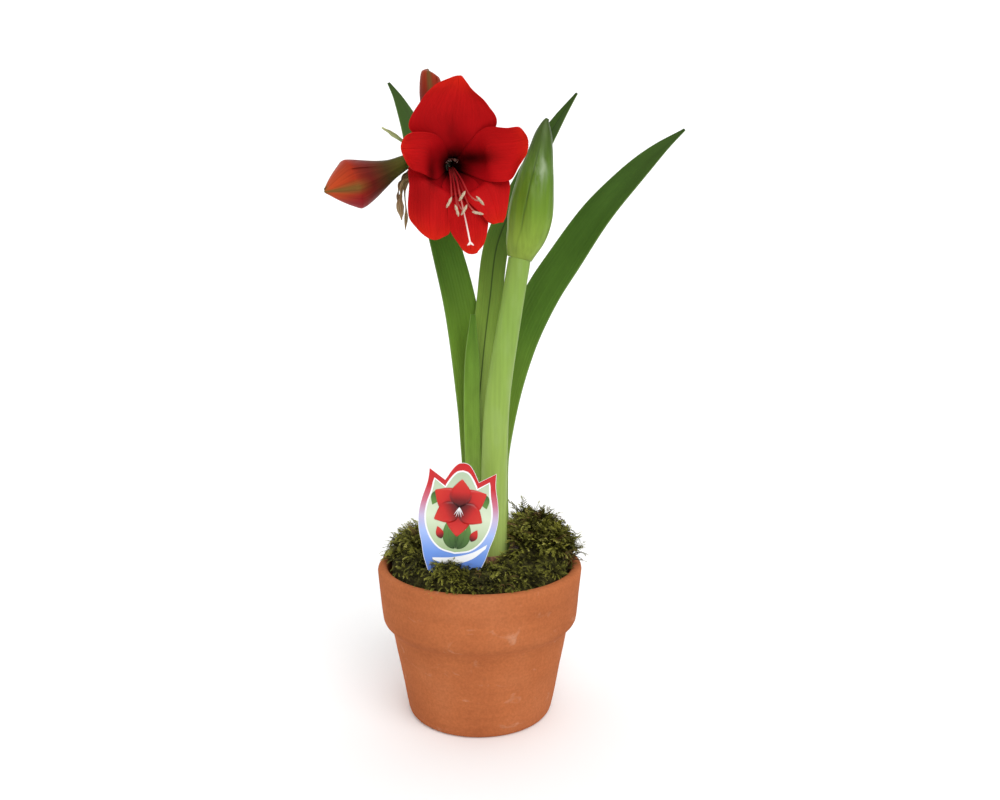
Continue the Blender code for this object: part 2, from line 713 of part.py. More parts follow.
BRACTS = {
    "spathe_valve_left": dict(
        spine=[
            (-4.16, 1.7, 44.54), (-5.1, 1.3, 44.3), (-5.75, 0.9, 43.7),
            (-6.0, 0.7, 42.4), (-5.97, 0.6, 40.7),
        ],
        half_widths=[0.25, 0.34, 0.36, 0.34, 0.26, 0.08],
        faces=((0.0, -0.4, 1.0), (-0.6, -1.0, 0.2)),
        channel=(0.5, 0.7),
        wave=0.3,
    ),
    "spathe_valve_back": dict(
        spine=[
            (-2.78, 2.67, 44.64), (-2.2, 3.3, 44.6), (-1.85, 3.7, 44.0),
            (-1.7, 3.9, 42.7), (-1.8, 3.85, 41.1),
        ],
        half_widths=[0.25, 0.4, 0.45, 0.42, 0.32, 0.08],
        faces=((0.3, 0.3, 1.0), (0.6, 1.0, 0.2)),
        channel=(0.4, 0.7),
        wave=0.3,
    ),
    "bracteole": dict(
        spine=[(-3.9, 2.42, 45.73), (-4.9, 2.15, 46.6), (-6.2, 1.5, 47.2), (-7.75, 1.2, 48.2)],
        half_widths=[0.16, 0.2, 0.19, 0.15, 0.06],
        faces=((0.3, -1.0, 0.6), (0.2, -1.0, 0.3)),
        channel=(0.5, 0.4),
        wave=0.1,
    ),
}


BRACT_ROWS = 10
BRACT_THICKNESS = 0.08


def make_bract(name, facts, group, skin):
    rows = [row[::2] for row in leaf_rows(count=BRACT_ROWS, **facts)]
    return finish_piece(thick_sheet(name, rows, BRACT_THICKNESS, group), skin, 60)


PEDICELS = {
    "front": ([(-3.1, 1.8, 45.0), (-2.7, 1.0, 44.95)], FRONT_BLOOM),
    "left": ([(-3.5, 1.9, 45.1), (-4.4, 1.5, 45.7)], LEFT_BLOOM),
    "back": ([(-3.3, 2.0, 45.1), (-3.4, 2.6, 45.2)], BACK_BLOOM),
}


def make_open_scape(group, skin):
    facts = SCAPES["scape_open"]
    pieces = [round_stem("scape_open", facts["points"], facts["radii"], 16, group)]
    bpy.ops.mesh.primitive_uv_sphere_add(
        segments=16, ring_count=8, radius=HEAD_RADIUS * CM, location=HEAD_CENTRE * CM
    )
    pieces.append(bpy.context.object)
    for name, (points, bloom) in PEDICELS.items():
        ends = [bloom.foot - bloom.axis * reach for reach in (0.7, 1.3 * GAP)]
        radii = [0.42, 0.36, 0.38, 0.55, 0.56, 0.40]
        pieces.append(round_stem(f"pedicel_{name}", [*points, *ends], radii, 8, group))
    return finish_piece(joined("scape_open", pieces), skin)


# Closed bud: two spathe valves that meet along a seam, on the second stalk

BUD_SPINE = [
    (3.205, -2.0, 37.79), (3.6, -2.0, 40.2), (4.05, -2.0, 42.6),
    (4.55, -2.0, 45.2), (4.95, -2.0, 47.0), (5.2, -2.0, 48.25),
]
BUD_RADII = [0.9, 1.18, 1.55, 1.78, 1.72, 1.42, 1.0, 0.66, 0.42, 0.16]


BUD_SQUASH = 0.86
BUD_ROWS = 16
BUD_SIDES = 20


def make_bud(group, skin):
    path = smooth_path([Vector(p) for p in BUD_SPINE], BUD_ROWS)
    rings = round_rings(path, BUD_RADII, BUD_SIDES, BUD_SQUASH)
    for i, ring in enumerate(rings):
        t = i / (len(rings) - 1)
        for j, point in enumerate(ring):
            turn = 2 * math.pi * j / len(ring)
            seam = math.exp(-((math.sin(turn - 1.25)) ** 2) / 0.012)
            ring[j] = point + (path[i] - point) * 0.05 * seam * math.sin(math.pi * t)
    return finish_piece(place("bud", ringed_mesh("bud", rings), group), skin)


# Moss: a shaggy ring of tufts, higher at the back right, round the neck of the bulb

MOSS_SPOKES = 60
MOSS_RINGS = 11


def moss_height(x, y):
    radius = math.hypot(x, y)
    rise = 2.6 + 1.5 * math.exp(-((x - 4.2) ** 2 + (y - 1.5) ** 2) / 12.0)
    rise += 0.5 * math.exp(-((x + 4.6) ** 2 + (y - 1.0) ** 2) / 9.0)
    rise += 0.35 * math.exp(-((x + 0.8) ** 2 + (y + 6.2) ** 2) / 3.0)
    edge = max(0.0, (radius - 4.9) / (MOSS_OUTER - 4.9))
    rise *= 1.0 - 0.42 * edge**2
    tufts = noise.noise(Vector((x * 0.95, y * 0.95, 3.7))) * 0.42
    crumbs = noise.noise(Vector((x * 2.1, y * 2.1, 9.1))) * 0.3
    return SOIL_TOP + rise + tufts + crumbs


def moss_rim(turn):
    """The ring's outer radius, a little ragged."""
    return MOSS_OUTER - 0.08 + 0.07 * math.sin(9 * turn + 0.6) * math.sin(4 * turn)


def make_moss(group, skin, cutters):
    data = bpy.data.meshes.new("moss")
    points, faces = [], []
    cx, cy = NECK_CENTRE
    floor = SOIL_TOP + GAP
    for i in range(MOSS_SPOKES):
        turn = 2 * math.pi * i / MOSS_SPOKES
        near = Vector((cx + MOSS_INNER * math.cos(turn), cy + MOSS_INNER * math.sin(turn)))
        far = Vector((math.cos(turn), math.sin(turn))) * moss_rim(turn)
        for k in range(MOSS_RINGS):
            spot = near.lerp(far, k / (MOSS_RINGS - 1))
            points.append(Vector((spot.x, spot.y, moss_height(spot.x, spot.y))) * CM)
        points.append(Vector((far.x, far.y, floor)) * CM)
        points.append(Vector((near.x, near.y, floor)) * CM)
    loop = MOSS_RINGS + 2
    for i in range(MOSS_SPOKES):
        a, b = i * loop, (i + 1) % MOSS_SPOKES * loop
        for k in range(loop):
            n = (k + 1) % loop
            faces += [(a + k, a + n, b + n), (a + k, b + n, b + k)]
    data.from_pydata(points, [], faces)
    moss = cut(baked(place("moss", data, group)), cutters)
    return finish_piece(moss, skin, 80)


# Plant tag: a tulip-shaped card that narrows to a stake

TAG_TOP = Vector((-1.12, -4.5, 22.1))
TAG_LEAN_BACK = 6.5
TAG_ROLL = 6.3
TAG_TURN = 4.0
TAG_HALF_OUTLINE = [
    (0.0, 0.0), (0.62, -0.32), (1.32, -1.42), (2.62, -0.62), (2.62, -1.55),
    (2.98, -3.0), (3.12, -4.2), (2.98, -5.4), (2.62, -6.5), (2.35, -7.6),
    (1.9, -8.6), (1.0, -9.3), (0.62, -9.9), (0.45, -11.6), (0.0, -12.4),
]


def tag_matrix():
    """Lays the card's outline, drawn in X and Y, into its leaning place in the moss."""
    lean = Matrix.Rotation(math.radians(90 - TAG_LEAN_BACK), 4, "X")
    roll = Matrix.Rotation(math.radians(-TAG_ROLL), 4, "Z")
    turn = Matrix.Rotation(math.radians(TAG_TURN), 4, "Z")
    return Matrix.Translation(TAG_TOP * CM) @ turn @ lean @ roll


def tag_solid(name, group, grow=0.0):
    curve = bpy.data.curves.new(name, "CURVE")
    curve.dimensions = "2D"
    curve.fill_mode = "BOTH"
    curve.extrude = (TAG_THICKNESS / 2 + grow) * CM
    half = [(x + (grow if x > 0 else 0.0), y - (grow if y < -8 else 0.0)) for x, y in TAG_HALF_OUTLINE]
    outline = half + [(-x, y) for x, y in half[-2:0:-1]]
    line = curve.splines.new("POLY")
    line.points.add(len(outline) - 1)
    for spot, (x, y) in zip(line.points, outline):
        spot.co = (x * CM, y * CM, 0.0, 1.0)
    line.use_cyclic_u = True
    obj = place(name, curve, group)
    obj.matrix_world = tag_matrix()
    bpy.context.view_layer.update()
    return baked(obj)


def stand_on_origin(parts):
    """Hangs every piece from one empty that brings the middle of the plant's footprint to the origin."""
    pieces = list(parts.objects)
    corners = [obj.matrix_world @ Vector(corner) for obj in pieces for corner in obj.bound_box]
    low = Vector(min(c[i] for c in corners) for i in range(3))
    high = Vector(max(c[i] for c in corners) for i in range(3))
    stand = place("footprint_middle", None, parts)
    for obj in pieces:
        obj.parent = stand
    stand.location = (-(low.x + high.x) / 2, -(low.y + high.y) / 2, -low.z)


def build():
    clear_scene()
    parts = collection("amaryllis_in_a_pot")
    helpers = collection("cutters")
    clay = material("terracotta", (0.46, 0.15, 0.065), 0.85)
    earth = material("potting_soil", (0.05, 0.03, 0.02), 0.95)
    green_moss = material("moss_green", (0.11, 0.11, 0.02), 0.95)
    tunic = material("bulb_tunic", (0.20, 0.10, 0.05), 0.8)
    leaf_green = material("leaf_green", (0.07, 0.15, 0.035), 0.45)
    stalk_green = material("stalk_green", (0.26, 0.39, 0.088), 0.45)
    bud_green = material("bud_green", (0.15, 0.27, 0.06), 0.4)
    red = material("petal_red", (0.50, 0.012, 0.008), 0.55)
    opening_red = material("opening_petal_red", (0.33, 0.055, 0.025), 0.55)
    thread = material("stamen_pink", (0.62, 0.30, 0.24), 0.5)
    dry = material("dry_spathe", (0.30, 0.18, 0.08), 0.8)
    pale = material("bracteole_green", (0.42, 0.45, 0.20), 0.6)
    card = material("tag_card", (0.55, 0.60, 0.85), 0.35)

    make_pot(parts, clay)
    tag_slot = tag_solid("tag_slot", helpers, grow=0.05)
    bulb_hollow = turned("bulb_hollow", bulb_profile(0.05), BULB_STEPS, helpers, NECK_CENTRE)
    make_soil(parts, earth, [bulb_hollow, tag_slot])
    make_moss(parts, green_moss, [tag_slot])

    sockets = [leaf_socket(name, facts, helpers) for name, facts in LEAVES.items()]
    sockets += [scape_socket(name, facts, helpers) for name, facts in SCAPES.items()]
    bulb = cut(turned("bulb", bulb_profile(0.0), BULB_STEPS, parts, NECK_CENTRE), sockets)
    finish_piece(bulb, tunic)

    for name, facts in LEAVES.items():
        make_leaf(name, facts, parts, leaf_green)
    facts = SCAPES["scape_bud"]
    stalk = round_stem("scape_bud", facts["points"], facts["radii"], 18, parts, 3)
    finish_piece(stalk, stalk_green)
    make_open_scape(parts, stalk_green)
    make_bud(parts, bud_green)
    make_open_bloom("bloom_front", FRONT_BLOOM, parts, red)
    make_opening_bloom("bloom_left", LEFT_BLOOM, parts, opening_red)
    make_opening_bloom("bloom_back", BACK_BLOOM, parts, opening_red)
    make_stamens("stamens_front", FRONT_BLOOM, parts, thread)
    for name, facts in BRACTS.items():
        make_bract(name, facts, parts, pale if name == "bracteole" else dry)
    finish_piece(tag_solid("plant_tag", parts), card)
    hide_cutters(list(helpers.objects))
    stand_on_origin(parts)


build()
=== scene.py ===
"""An amaryllis in a clay pot: red bloom, bud, strap leaves, moss and a plant tag."""

import math
import random

import bpy
import numpy as np
from mathutils import Matrix, Vector, noise


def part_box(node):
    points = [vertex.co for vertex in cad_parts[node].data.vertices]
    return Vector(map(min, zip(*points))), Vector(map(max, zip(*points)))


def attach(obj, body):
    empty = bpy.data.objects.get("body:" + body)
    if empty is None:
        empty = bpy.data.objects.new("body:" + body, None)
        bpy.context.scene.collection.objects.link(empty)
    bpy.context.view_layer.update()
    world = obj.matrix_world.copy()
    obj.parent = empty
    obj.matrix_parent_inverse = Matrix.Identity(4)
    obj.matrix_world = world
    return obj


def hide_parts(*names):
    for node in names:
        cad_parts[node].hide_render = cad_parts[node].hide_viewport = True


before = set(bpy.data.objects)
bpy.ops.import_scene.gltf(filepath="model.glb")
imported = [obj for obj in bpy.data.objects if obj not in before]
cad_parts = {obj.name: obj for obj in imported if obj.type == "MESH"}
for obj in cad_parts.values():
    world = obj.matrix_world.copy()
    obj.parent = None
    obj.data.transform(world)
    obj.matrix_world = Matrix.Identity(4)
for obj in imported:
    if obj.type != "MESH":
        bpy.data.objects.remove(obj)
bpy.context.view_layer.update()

# Camera, table and light.
# The plant stands on a pale sheet that sweeps up behind it, under a soft white sky and one broad
# light from the front right. Lengths are centimetres from the pot's axis, with Z 0 at the table.

CM = 0.01
pot_low, pot_high = (np.array(corner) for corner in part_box("pot"))
POT_AXIS = np.array([(pot_low[0] + pot_high[0]) / 2, (pot_low[1] + pot_high[1]) / 2, 0.0])
VIEW_FROM = (1.68, -73.0, 36.9)
VIEW_DOWN = 8.2  # degrees
FOCAL_LENGTH = 32.4
SHEET_FRONT = -1200.0
SHEET_BACK = 150.0
SHEET_BEND = 120.0
BEND_STEPS = 16
SHEET_TOP = 900.0
SHEET_HALF_WIDTH = 900.0
SKY_STRENGTH = 0.62
LIGHTS = {  # degrees right of the camera, height and spread in degrees, strength
    "soft_key": (24.0, 42.0, 50, 1.75),
    "soft_fill": (-60, 30, 70, 0.25),
}


def in_frame(points):
    """Centimetres from the pot's axis, as metres in the frame."""
    return np.asarray(points, float) * CM + POT_AXIS


camera = bpy.data.objects.new("portrait_camera", bpy.data.cameras.new("portrait_camera"))
camera.data.lens = FOCAL_LENGTH
camera.data.sensor_width = 36.0
camera.data.clip_end = 100.0
camera.location = in_frame(VIEW_FROM)
camera.rotation_euler = (math.radians(90 - VIEW_DOWN), 0.0, 0.0)
bpy.context.scene.collection.objects.link(camera)
bpy.context.scene.camera = camera
bpy.context.scene.view_settings.view_transform = "Standard"

sky = bpy.data.worlds.new("white_sky")
sky.use_nodes = True
sky.node_tree.nodes["Background"].inputs["Color"].default_value = (1.0, 1.0, 1.0, 1.0)
sky.node_tree.nodes["Background"].inputs["Strength"].default_value = SKY_STRENGTH
bpy.context.scene.world = sky

sweep = [(SHEET_FRONT, 0.0), (SHEET_BACK, 0.0)]
for step in range(1, BEND_STEPS + 1):
    turn = math.radians(90 * step / BEND_STEPS)
    sweep.append((SHEET_BACK + SHEET_BEND * math.sin(turn), SHEET_BEND * (1 - math.cos(turn))))
sweep.append((SHEET_BACK + SHEET_BEND, SHEET_TOP))
sheet_points = [(x, y, z) for y, z in sweep for x in (-SHEET_HALF_WIDTH, SHEET_HALF_WIDTH)]
sheet = bpy.data.meshes.new("pale_sheet")
sheet_faces = [(2 * i, 2 * i + 1, 2 * i + 3, 2 * i + 2) for i in range(len(sweep) - 1)]
sheet.from_pydata(in_frame(sheet_points).tolist(), [], sheet_faces)
sheet.shade_smooth()
paper_white = bpy.data.materials.new("pale_sheet")
paper_white.use_nodes = True
paper_shader = paper_white.node_tree.nodes["Principled BSDF"]
paper_shader.inputs["Base Color"].default_value = (0.95, 0.95, 0.95, 1.0)
paper_shader.inputs["Roughness"].default_value = 0.9
paper_shader.inputs["Specular IOR Level"].default_value = 0.1
sheet.materials.append(paper_white)
pale_sheet = bpy.data.objects.new("pale_sheet", sheet)
bpy.context.scene.collection.objects.link(pale_sheet)

for name, (turn, height, spread, strength) in LIGHTS.items():
    lamp = bpy.data.lights.new(name, "SUN")
    lamp.angle = math.radians(spread)
    lamp.energy = strength
    holder = bpy.data.objects.new(name, lamp)
    holder.rotation_euler = (math.radians(90 - height), 0.0, math.radians(turn))
    bpy.context.scene.collection.objects.link(holder)


# The clay pot.
# Real one: a collared flower pot of red earthenware, pressed in a mould and fired unglazed,
# with faint turning marks, a bloom of salts, and scuffs on the collar.

POT_STEPS = 256
POT_FOOT = 0.2  # below this height the wall stays true, so that the pot stands flat
WALL_SWELL = 0.035
WALL_BANDS = 0.02
POT_PROFILE = [
    (7.74, 12.60), (7.82, 12.67), (7.95, 12.70), (8.22, 12.69), (8.38, 12.63), (8.47, 12.50), (8.50, 12.32),
    (8.42, 11.3), (8.33, 10.3), (8.24, 9.3), (8.15, 8.5), (8.10, 8.22), (8.0, 8.02), (7.88, 7.88),
    (7.62, 7.62), (7.45, 7.42), (7.36, 7.2), (7.30, 6.9), (7.09, 5.7), (6.80, 4.2), (6.50, 2.6), (6.25, 1.2),
    (6.10, 0.5), (6.02, 0.26), (5.90, 0.10), (5.72, 0.02), (5.5, 0.0), (3.2, 0.0), (1.0, 0.0), (0.92, 0.04),
    (0.9, 0.12), (0.9, 0.95), (0.97, 1.06), (1.2, 1.1), (4.6, 1.1), (5.1, 1.2), (5.4, 1.45), (5.55, 2.0),
    (6.1, 4.5), (6.7, 7.2), (7.05, 8.7), (7.45, 10.3), (7.56, 11.3), (7.66, 12.2), (7.69, 12.45),
]


class Finish:
    """A Principled surface whose colour, gloss and bump come from procedural nodes."""

    def __init__(self, name, roughness, specular=0.5):
        self.material = bpy.data.materials.new(name)
        self.material.use_nodes = True
        self.tree = self.material.node_tree
        self.shader = self.tree.nodes["Principled BSDF"]
        self.shader.inputs["Roughness"].default_value = roughness
        self.shader.inputs["Specular IOR Level"].default_value = specular

    def node(self, kind, links=(), **values):
        """A shader node. Links name its inputs by number or name, values are its settings."""
        made = self.tree.nodes.new("ShaderNode" + kind)
        for key, value in values.items():
            setattr(made, key, value)
        for key, value in dict(links).items():
            if isinstance(value, bpy.types.NodeSocket):
                self.tree.links.new(value, made.inputs[key])
            else:
                made.inputs[key].default_value = value
        return made

    def place(self, stretch=(1.0, 1.0, 1.0), along_blade=False):
        """Coordinates in centimetres, or across and along a blade, stretched."""
        where = self.node("TexCoord").outputs["UV" if along_blade else "Object"]
        scale = tuple(s * (1.0 if along_blade else 1.0 / CM) for s in stretch)
        return self.node("Mapping", {"Vector": where, "Scale": scale}).outputs[0]

    def grain(self, scale, stretch=(1.0, 1.0, 1.0), along_blade=False, detail=4.0, warp=0.0):
        """Noise from 0 to 1."""
        where = self.place(stretch, along_blade)
        return self.node(
            "TexNoise", {"Vector": where, "Scale": scale, "Detail": detail, "Distortion": warp}
        ).outputs["Fac"]

    def value(self, name):
        """A number stored at the mesh's points."""
        return self.node("Attribute", attribute_name=name).outputs["Fac"]

    def ramp(self, factor, stops):
        """Colours or greys by position."""
        made = self.node("ValToRGB", {"Fac": factor})
        band = made.color_ramp
        while len(band.elements) < len(stops):
            band.elements.new(1.0)
        for element, (position, colour) in zip(band.elements, stops):
            element.position = position
            element.color = (*colour, 1.0) if isinstance(colour, tuple) else (colour, colour, colour, 1.0)
        return made.outputs["Color"]

    def mix(self, factor, first, second, blend="MIX"):
        made = self.node("Mix", data_type="RGBA", blend_type=blend)
        for socket, value in ((made.inputs[0], factor), (made.inputs[6], first), (made.inputs[7], second)):
            if isinstance(value, bpy.types.NodeSocket):
                self.tree.links.new(value, socket)
            elif isinstance(value, tuple):
                socket.default_value = (*value, 1.0)
            else:
                socket.default_value = value
        return made.outputs[2]

    def sums(self, operation, first, second):
        return self.node("Math", {0: first, 1: second}, operation=operation).outputs[0]

    def mottle(self, tone, pattern, low, high, edges=(0.3, 0.7)):
        """A tone that a pattern darkens and lightens."""
        return self.mix(1.0, tone, self.ramp(pattern, list(zip(edges, (low, high)))), "MULTIPLY")

    def blade_place(self):
        """Places across and along a blade, from 0 to 1."""
        parted = self.node("SeparateXYZ", {0: self.node("TexCoord").outputs["UV"]})
        return parted.outputs[0], parted.outputs[1]

    def from_middle(self, across):
        """Distance from the midrib, up to 0.5 at the edges."""
        return self.sums("ABSOLUTE", self.sums("SUBTRACT", across, 0.5), 0.0)

    def colour(self, socket):
        self.tree.links.new(socket, self.shader.inputs["Base Color"])

    def tint(self, pattern, stops):
        """Colour straight from a ramp."""
        self.colour(self.ramp(pattern, stops))

    def gloss(self, socket):
        self.tree.links.new(socket, self.shader.inputs["Roughness"])

    def bump(self, height, distance, strength=1.0):
        made = self.node("Bump", {"Height": height, "Distance": distance * CM, "Strength": strength})
        if self.shader.inputs["Normal"].is_linked:
            self.tree.links.new(self.shader.inputs["Normal"].links[0].from_socket, made.inputs["Normal"])
        self.tree.links.new(made.outputs[0], self.shader.inputs["Normal"])


def show(name, points, faces, finish, slot, nodes=(), across_along=None, values=None, sharp=None):
    """Makes a piece from points in plant centimetres and hands it to the frame."""
    data = bpy.data.meshes.new(name)
    data.from_pydata(in_frame(points).tolist(), [], faces)
    data.materials.append(finish.material)
    data.shade_smooth()
    if sharp:
        data.set_sharp_from_angle(angle=math.radians(sharp))
    if across_along is not None:
        corner_points = np.empty(len(data.loops), np.int32)
        data.loops.foreach_get("vertex_index", corner_points)
        layer = data.uv_layers.new(name="blade")
        layer.data.foreach_set("uv", np.asarray(across_along, np.float32)[corner_points].ravel())
    for key, numbers in (values or {}).items():
        stored = data.attributes.new(key, "FLOAT", "POINT")
        stored.data.foreach_set("value", np.asarray(numbers, np.float32).ravel())
    piece = bpy.data.objects.new(name, data)
    bpy.context.scene.collection.objects.link(piece)
    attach(piece, "root")
    if nodes:
        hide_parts(*nodes)
    return piece


def loop_faces(loops, count, ringed=False):
    """Quads between neighbouring closed loops of points. Ringed joins the last loop to the first."""
    faces = []
    for i in range(loops if ringed else loops - 1):
        a, b = i * count, (i + 1) % loops * count
        faces += [(a + k, a + (k + 1) % count, b + (k + 1) % count, b + k) for k in range(count)]
    return faces


def turn_profile(profile, steps, centre=(0.0, 0.0)):
    """A closed profile of (radius, height) pairs turned about an upright axis."""
    rim = np.array(profile, float)
    turns = np.linspace(0, 2 * math.pi, steps, endpoint=False)
    ring = np.stack([np.cos(turns), np.sin(turns)], 1)
    points = np.zeros((steps, len(rim), 3))
    points[:, :, :2] = ring[:, None, :] * rim[None, :, 0, None] + np.array(centre)
    points[:, :, 2] = rim[None, :, 1]
    return points.reshape(-1, 3), loop_faces(steps, len(rim), ringed=True)


clay = Finish("fired_clay", 0.9, 0.06)
clay_tone = clay.ramp(clay.grain(0.16, detail=5.0), [
    (0.3, (0.37, 0.108, 0.038)), (0.5, (0.43, 0.132, 0.047)), (0.7, (0.46, 0.150, 0.058)),
])
clay_tone = clay.mottle(clay_tone, clay.grain(1.0, (0.05, 0.05, 1.6), detail=3.0), 0.95, 1.03, (0.35, 0.65))
salts = clay.ramp(clay.grain(0.5, (1.0, 1.0, 1.8), detail=9.0, warp=0.8), [(0.63, 0.0), (0.75, 0.38)])
clay_tone = clay.mix(salts, clay_tone, (0.60, 0.33, 0.21))
clay_tone = clay.mottle(clay_tone, clay.grain(5.0, detail=6.0), 0.9, 1.06, (0.35, 0.65))
pores = clay.ramp(clay.grain(16.0, detail=2.0), [(0.24, 0.55), (0.34, 1.0)])
clay_tone = clay.mix(0.5, clay_tone, pores, "MULTIPLY")
clay.colour(clay_tone)
clay.bump(clay.grain(9.0, detail=6.0), 0.03, 0.3)
clay.bump(clay.grain(1.0, (0.05, 0.05, 3.4), detail=3.0), 0.04, 0.2)

pot_points, pot_faces = turn_profile(POT_PROFILE, POT_STEPS)
for spot in pot_points:
    swell = noise.noise(Vector(spot) * 0.35) * WALL_SWELL
    swell += noise.noise(Vector((spot[0] * 0.2, spot[1] * 0.2, spot[2] * 1.6))) * WALL_BANDS
    if spot[2] > POT_FOOT:
        spot[:2] *= 1.0 + swell / 8.0
show("clay_pot", pot_points, pot_faces, clay, "terracotta", ["pot"], sharp=40)


# The soil.
# Real one: dark peaty compost that fills the pot under the moss. It only shows in small gaps,
# so its solid stays and gets a crumbly finish.

compost = Finish("compost", 0.95, 0.2)
crumbs = [(0.35, (0.010, 0.006, 0.004)), (0.7, (0.06, 0.035, 0.022))]
compost.tint(compost.grain(5.0, detail=8.0), crumbs)
compost.bump(compost.grain(6.0, detail=8.0), 0.12, 0.9)
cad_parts["soil"].data.materials.clear()
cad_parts["soil"].data.materials.append(compost.material)


# The bulb.
# Real one: a fat bulb in dry brown skins. Only its neck shows, as a brown collar of papery
# skins that split round the stalks and leaves.

NECK_CENTRE = (0.4, 0.3)
NECK_FOOT = 12.8
NECK_RAGGED = 0.10
NECK_SINK = 0.06
BULB_STEPS = 96
BULB_PROFILE = [
    (0.02, 13.0), (1.2, 13.15), (2.2, 13.45), (2.72, 13.85), (2.86, 13.96), (2.97, 13.86), (3.02, 13.6),
    (3.08, 12.6), (3.12, 11.4), (3.2, 11.05), (3.6, 10.6), (4.1, 10.1), (4.5, 9.55), (4.75, 9.0), (4.82, 8.5),
    (4.8, 8.0), (4.6, 7.3), (4.2, 6.6), (3.6, 6.0), (2.9, 5.5), (1.8, 5.05), (0.02, 5.0),
]

skins = Finish("bulb_skins", 0.62, 0.3)
skins.tint(skins.grain(2.2, (2.2, 2.2, 0.5), detail=7.0), [
    (0.3, (0.045, 0.018, 0.010)), (0.52, (0.16, 0.065, 0.030)), (0.75, (0.36, 0.19, 0.09)),
])
skins.bump(skins.grain(3.0, (2.6, 2.6, 0.35), detail=6.0), 0.08, 0.7)

bulb_points, bulb_faces = turn_profile(BULB_PROFILE, BULB_STEPS, NECK_CENTRE)
for spot in bulb_points:
    if spot[2] > NECK_FOOT:
        spot[2] += noise.noise(Vector(spot) * 0.9) * NECK_RAGGED - NECK_SINK
show("bulb_neck", bulb_points, bulb_faces, skins, "bulb_tunic", ["bulb"], sharp=60)


# The strap leaves.
# Real ones: four thick waxy blades that rise out of the bulb's neck, channelled at the foot and
# flat higher up, with fine veins that run their whole length. They are pale low down.


def ease(values, spots):
    """Values at fractional places between evenly spaced ones, on a smooth curve through them."""
    known = np.array(values, float)
    flat = known.ndim == 1
    if flat:
        known = known[:, None]
    known = np.vstack([2 * known[0] - known[1], known, 2 * known[-1] - known[-2]])
    spots = np.clip(np.asarray(spots, float), 0, len(known) - 3)
    k = np.minimum(spots.astype(int), len(known) - 4)
    t = (spots - k)[:, None]
    a, b, c, d = known[k], known[k + 1], known[k + 2], known[k + 3]
    eased = 0.5 * (2 * b + (c - a) * t + (2 * a - 5 * b + 4 * c - d) * t**2 + (3 * b - a - 3 * c + d) * t**3)
    return eased[:, 0] if flat else eased


def flow(points, count):
    """Count points, evenly spaced by length, along a smooth curve through the given ones."""
    fine = ease(points, np.linspace(0, len(points) - 1, 24 * len(points)))
    steps = np.linalg.norm(np.diff(fine, axis=0), axis=1)
    reach = np.concatenate([[0.0], np.cumsum(steps)])
    goal = np.linspace(0.0, reach[-1], count)
    return np.stack([np.interp(goal, reach, fine[:, k]) for k in range(3)], 1)


def directions(path):
    """The way a line runs, at each of its points."""
    ahead = np.gradient(path, axis=0)
    return ahead / np.linalg.norm(ahead, axis=1)[:, None]


def unit(vectors):
    """Vectors cut to a length of 1."""
    return vectors / np.maximum(np.linalg.norm(vectors, axis=-1, keepdims=True), 1e-9)


SOCKET_BOTTOM = 12.8
LEAVES = {
    "leaf_left": dict(
        spine=[
            (-0.5, 1.15, SOCKET_BOTTOM), (-0.5, 1.15, 14.6), (-0.47, 1.1, 18.5), (-0.5, 1.0, 22.0),
            (-0.6, 0.9, 26.0), (-0.98, 0.8, 30.0), (-1.62, 0.45, 34.3), (-2.65, 0.15, 38.6),
            (-3.75, 0.0, 42.0), (-4.7, 0.0, 45.2), (-5.35, 0.5, 48.0), (-6.3, 1.0, 50.2), (-7.15, 1.2, 51.6),
        ],
        half_widths=[0.8, 0.85, 1.0, 1.2, 1.38, 1.42, 1.4, 1.3, 1.05, 0.95, 0.8, 0.12],
        faces=((0.0, -1.0, 0.0), (0.55, -1.0, 0.25)), channel=(0.28, 0.07), wave=0.05,
    ),
    "leaf_short": dict(
        spine=[
            (-0.45, -0.3, SOCKET_BOTTOM), (-0.45, -0.3, 14.6), (-0.5, -0.4, 18.5),
            (-0.55, -0.5, 22.0), (-0.65, -0.6, 26.0), (-0.6, -0.65, 30.0), (-0.5, -0.7, 33.4),
        ],
        half_widths=[0.6, 0.62, 0.66, 0.68, 0.66, 0.6, 0.2],
        faces=((0.0, -1.0, 0.0), (0.35, -1.0, 0.1)), channel=(0.3, 0.3), wave=0.0,
    ),
    "leaf_centre": dict(
        spine=[
            (-0.1, 0.42, SOCKET_BOTTOM), (-0.1, 0.42, 14.6), (-0.15, 0.3, 18.5), (-0.15, 0.1, 22.0),
            (0.0, 0.0, 26.0), (0.4, -0.1, 30.5), (0.9, 0.15, 34.6), (1.5, 1.2, 39.0),
            (3.1, 2.5, 42.8), (4.9, 3.2, 46.4), (6.5, 3.3, 49.1), (7.95, 3.2, 51.2),
        ],
        half_widths=[0.8, 0.8, 0.82, 0.86, 0.92, 1.0, 1.1, 1.15, 1.12, 1.0, 0.72, 0.1],
        faces=((-0.1, -1.0, 0.0), (-0.75, -1.0, 0.15)), channel=(0.3, 0.16), wave=0.04, fold=0.1,
    ),
    "leaf_right": dict(
        spine=[
            (1.65, 0.85, SOCKET_BOTTOM), (1.65, 0.85, 14.6), (1.45, 1.4, 18.5), (1.45, 1.75, 22.0),
            (2.1, 1.9, 26.6), (3.35, 2.0, 31.0), (5.1, 2.0, 34.8), (7.0, 1.6, 37.8),
            (9.4, 1.1, 41.3), (11.9, 0.8, 44.1), (14.2, 0.5, 46.3), (16.25, 0.3, 47.9),
        ],
        half_widths=[0.8, 0.85, 1.0, 1.25, 1.4, 1.46, 1.46, 1.38, 1.2, 0.85, 0.1],
        faces=((0.1, -1.0, 0.0), (-0.3, -1.0, 0.35)), channel=(0.25, 0.08), wave=0.05,
    ),
}
LEAF_ROWS = 150
LEAF_COLUMNS = 45
LEAF_THICKNESS = 0.2
TIP_THINNING = 0.45
LEAF_VEINS = 11
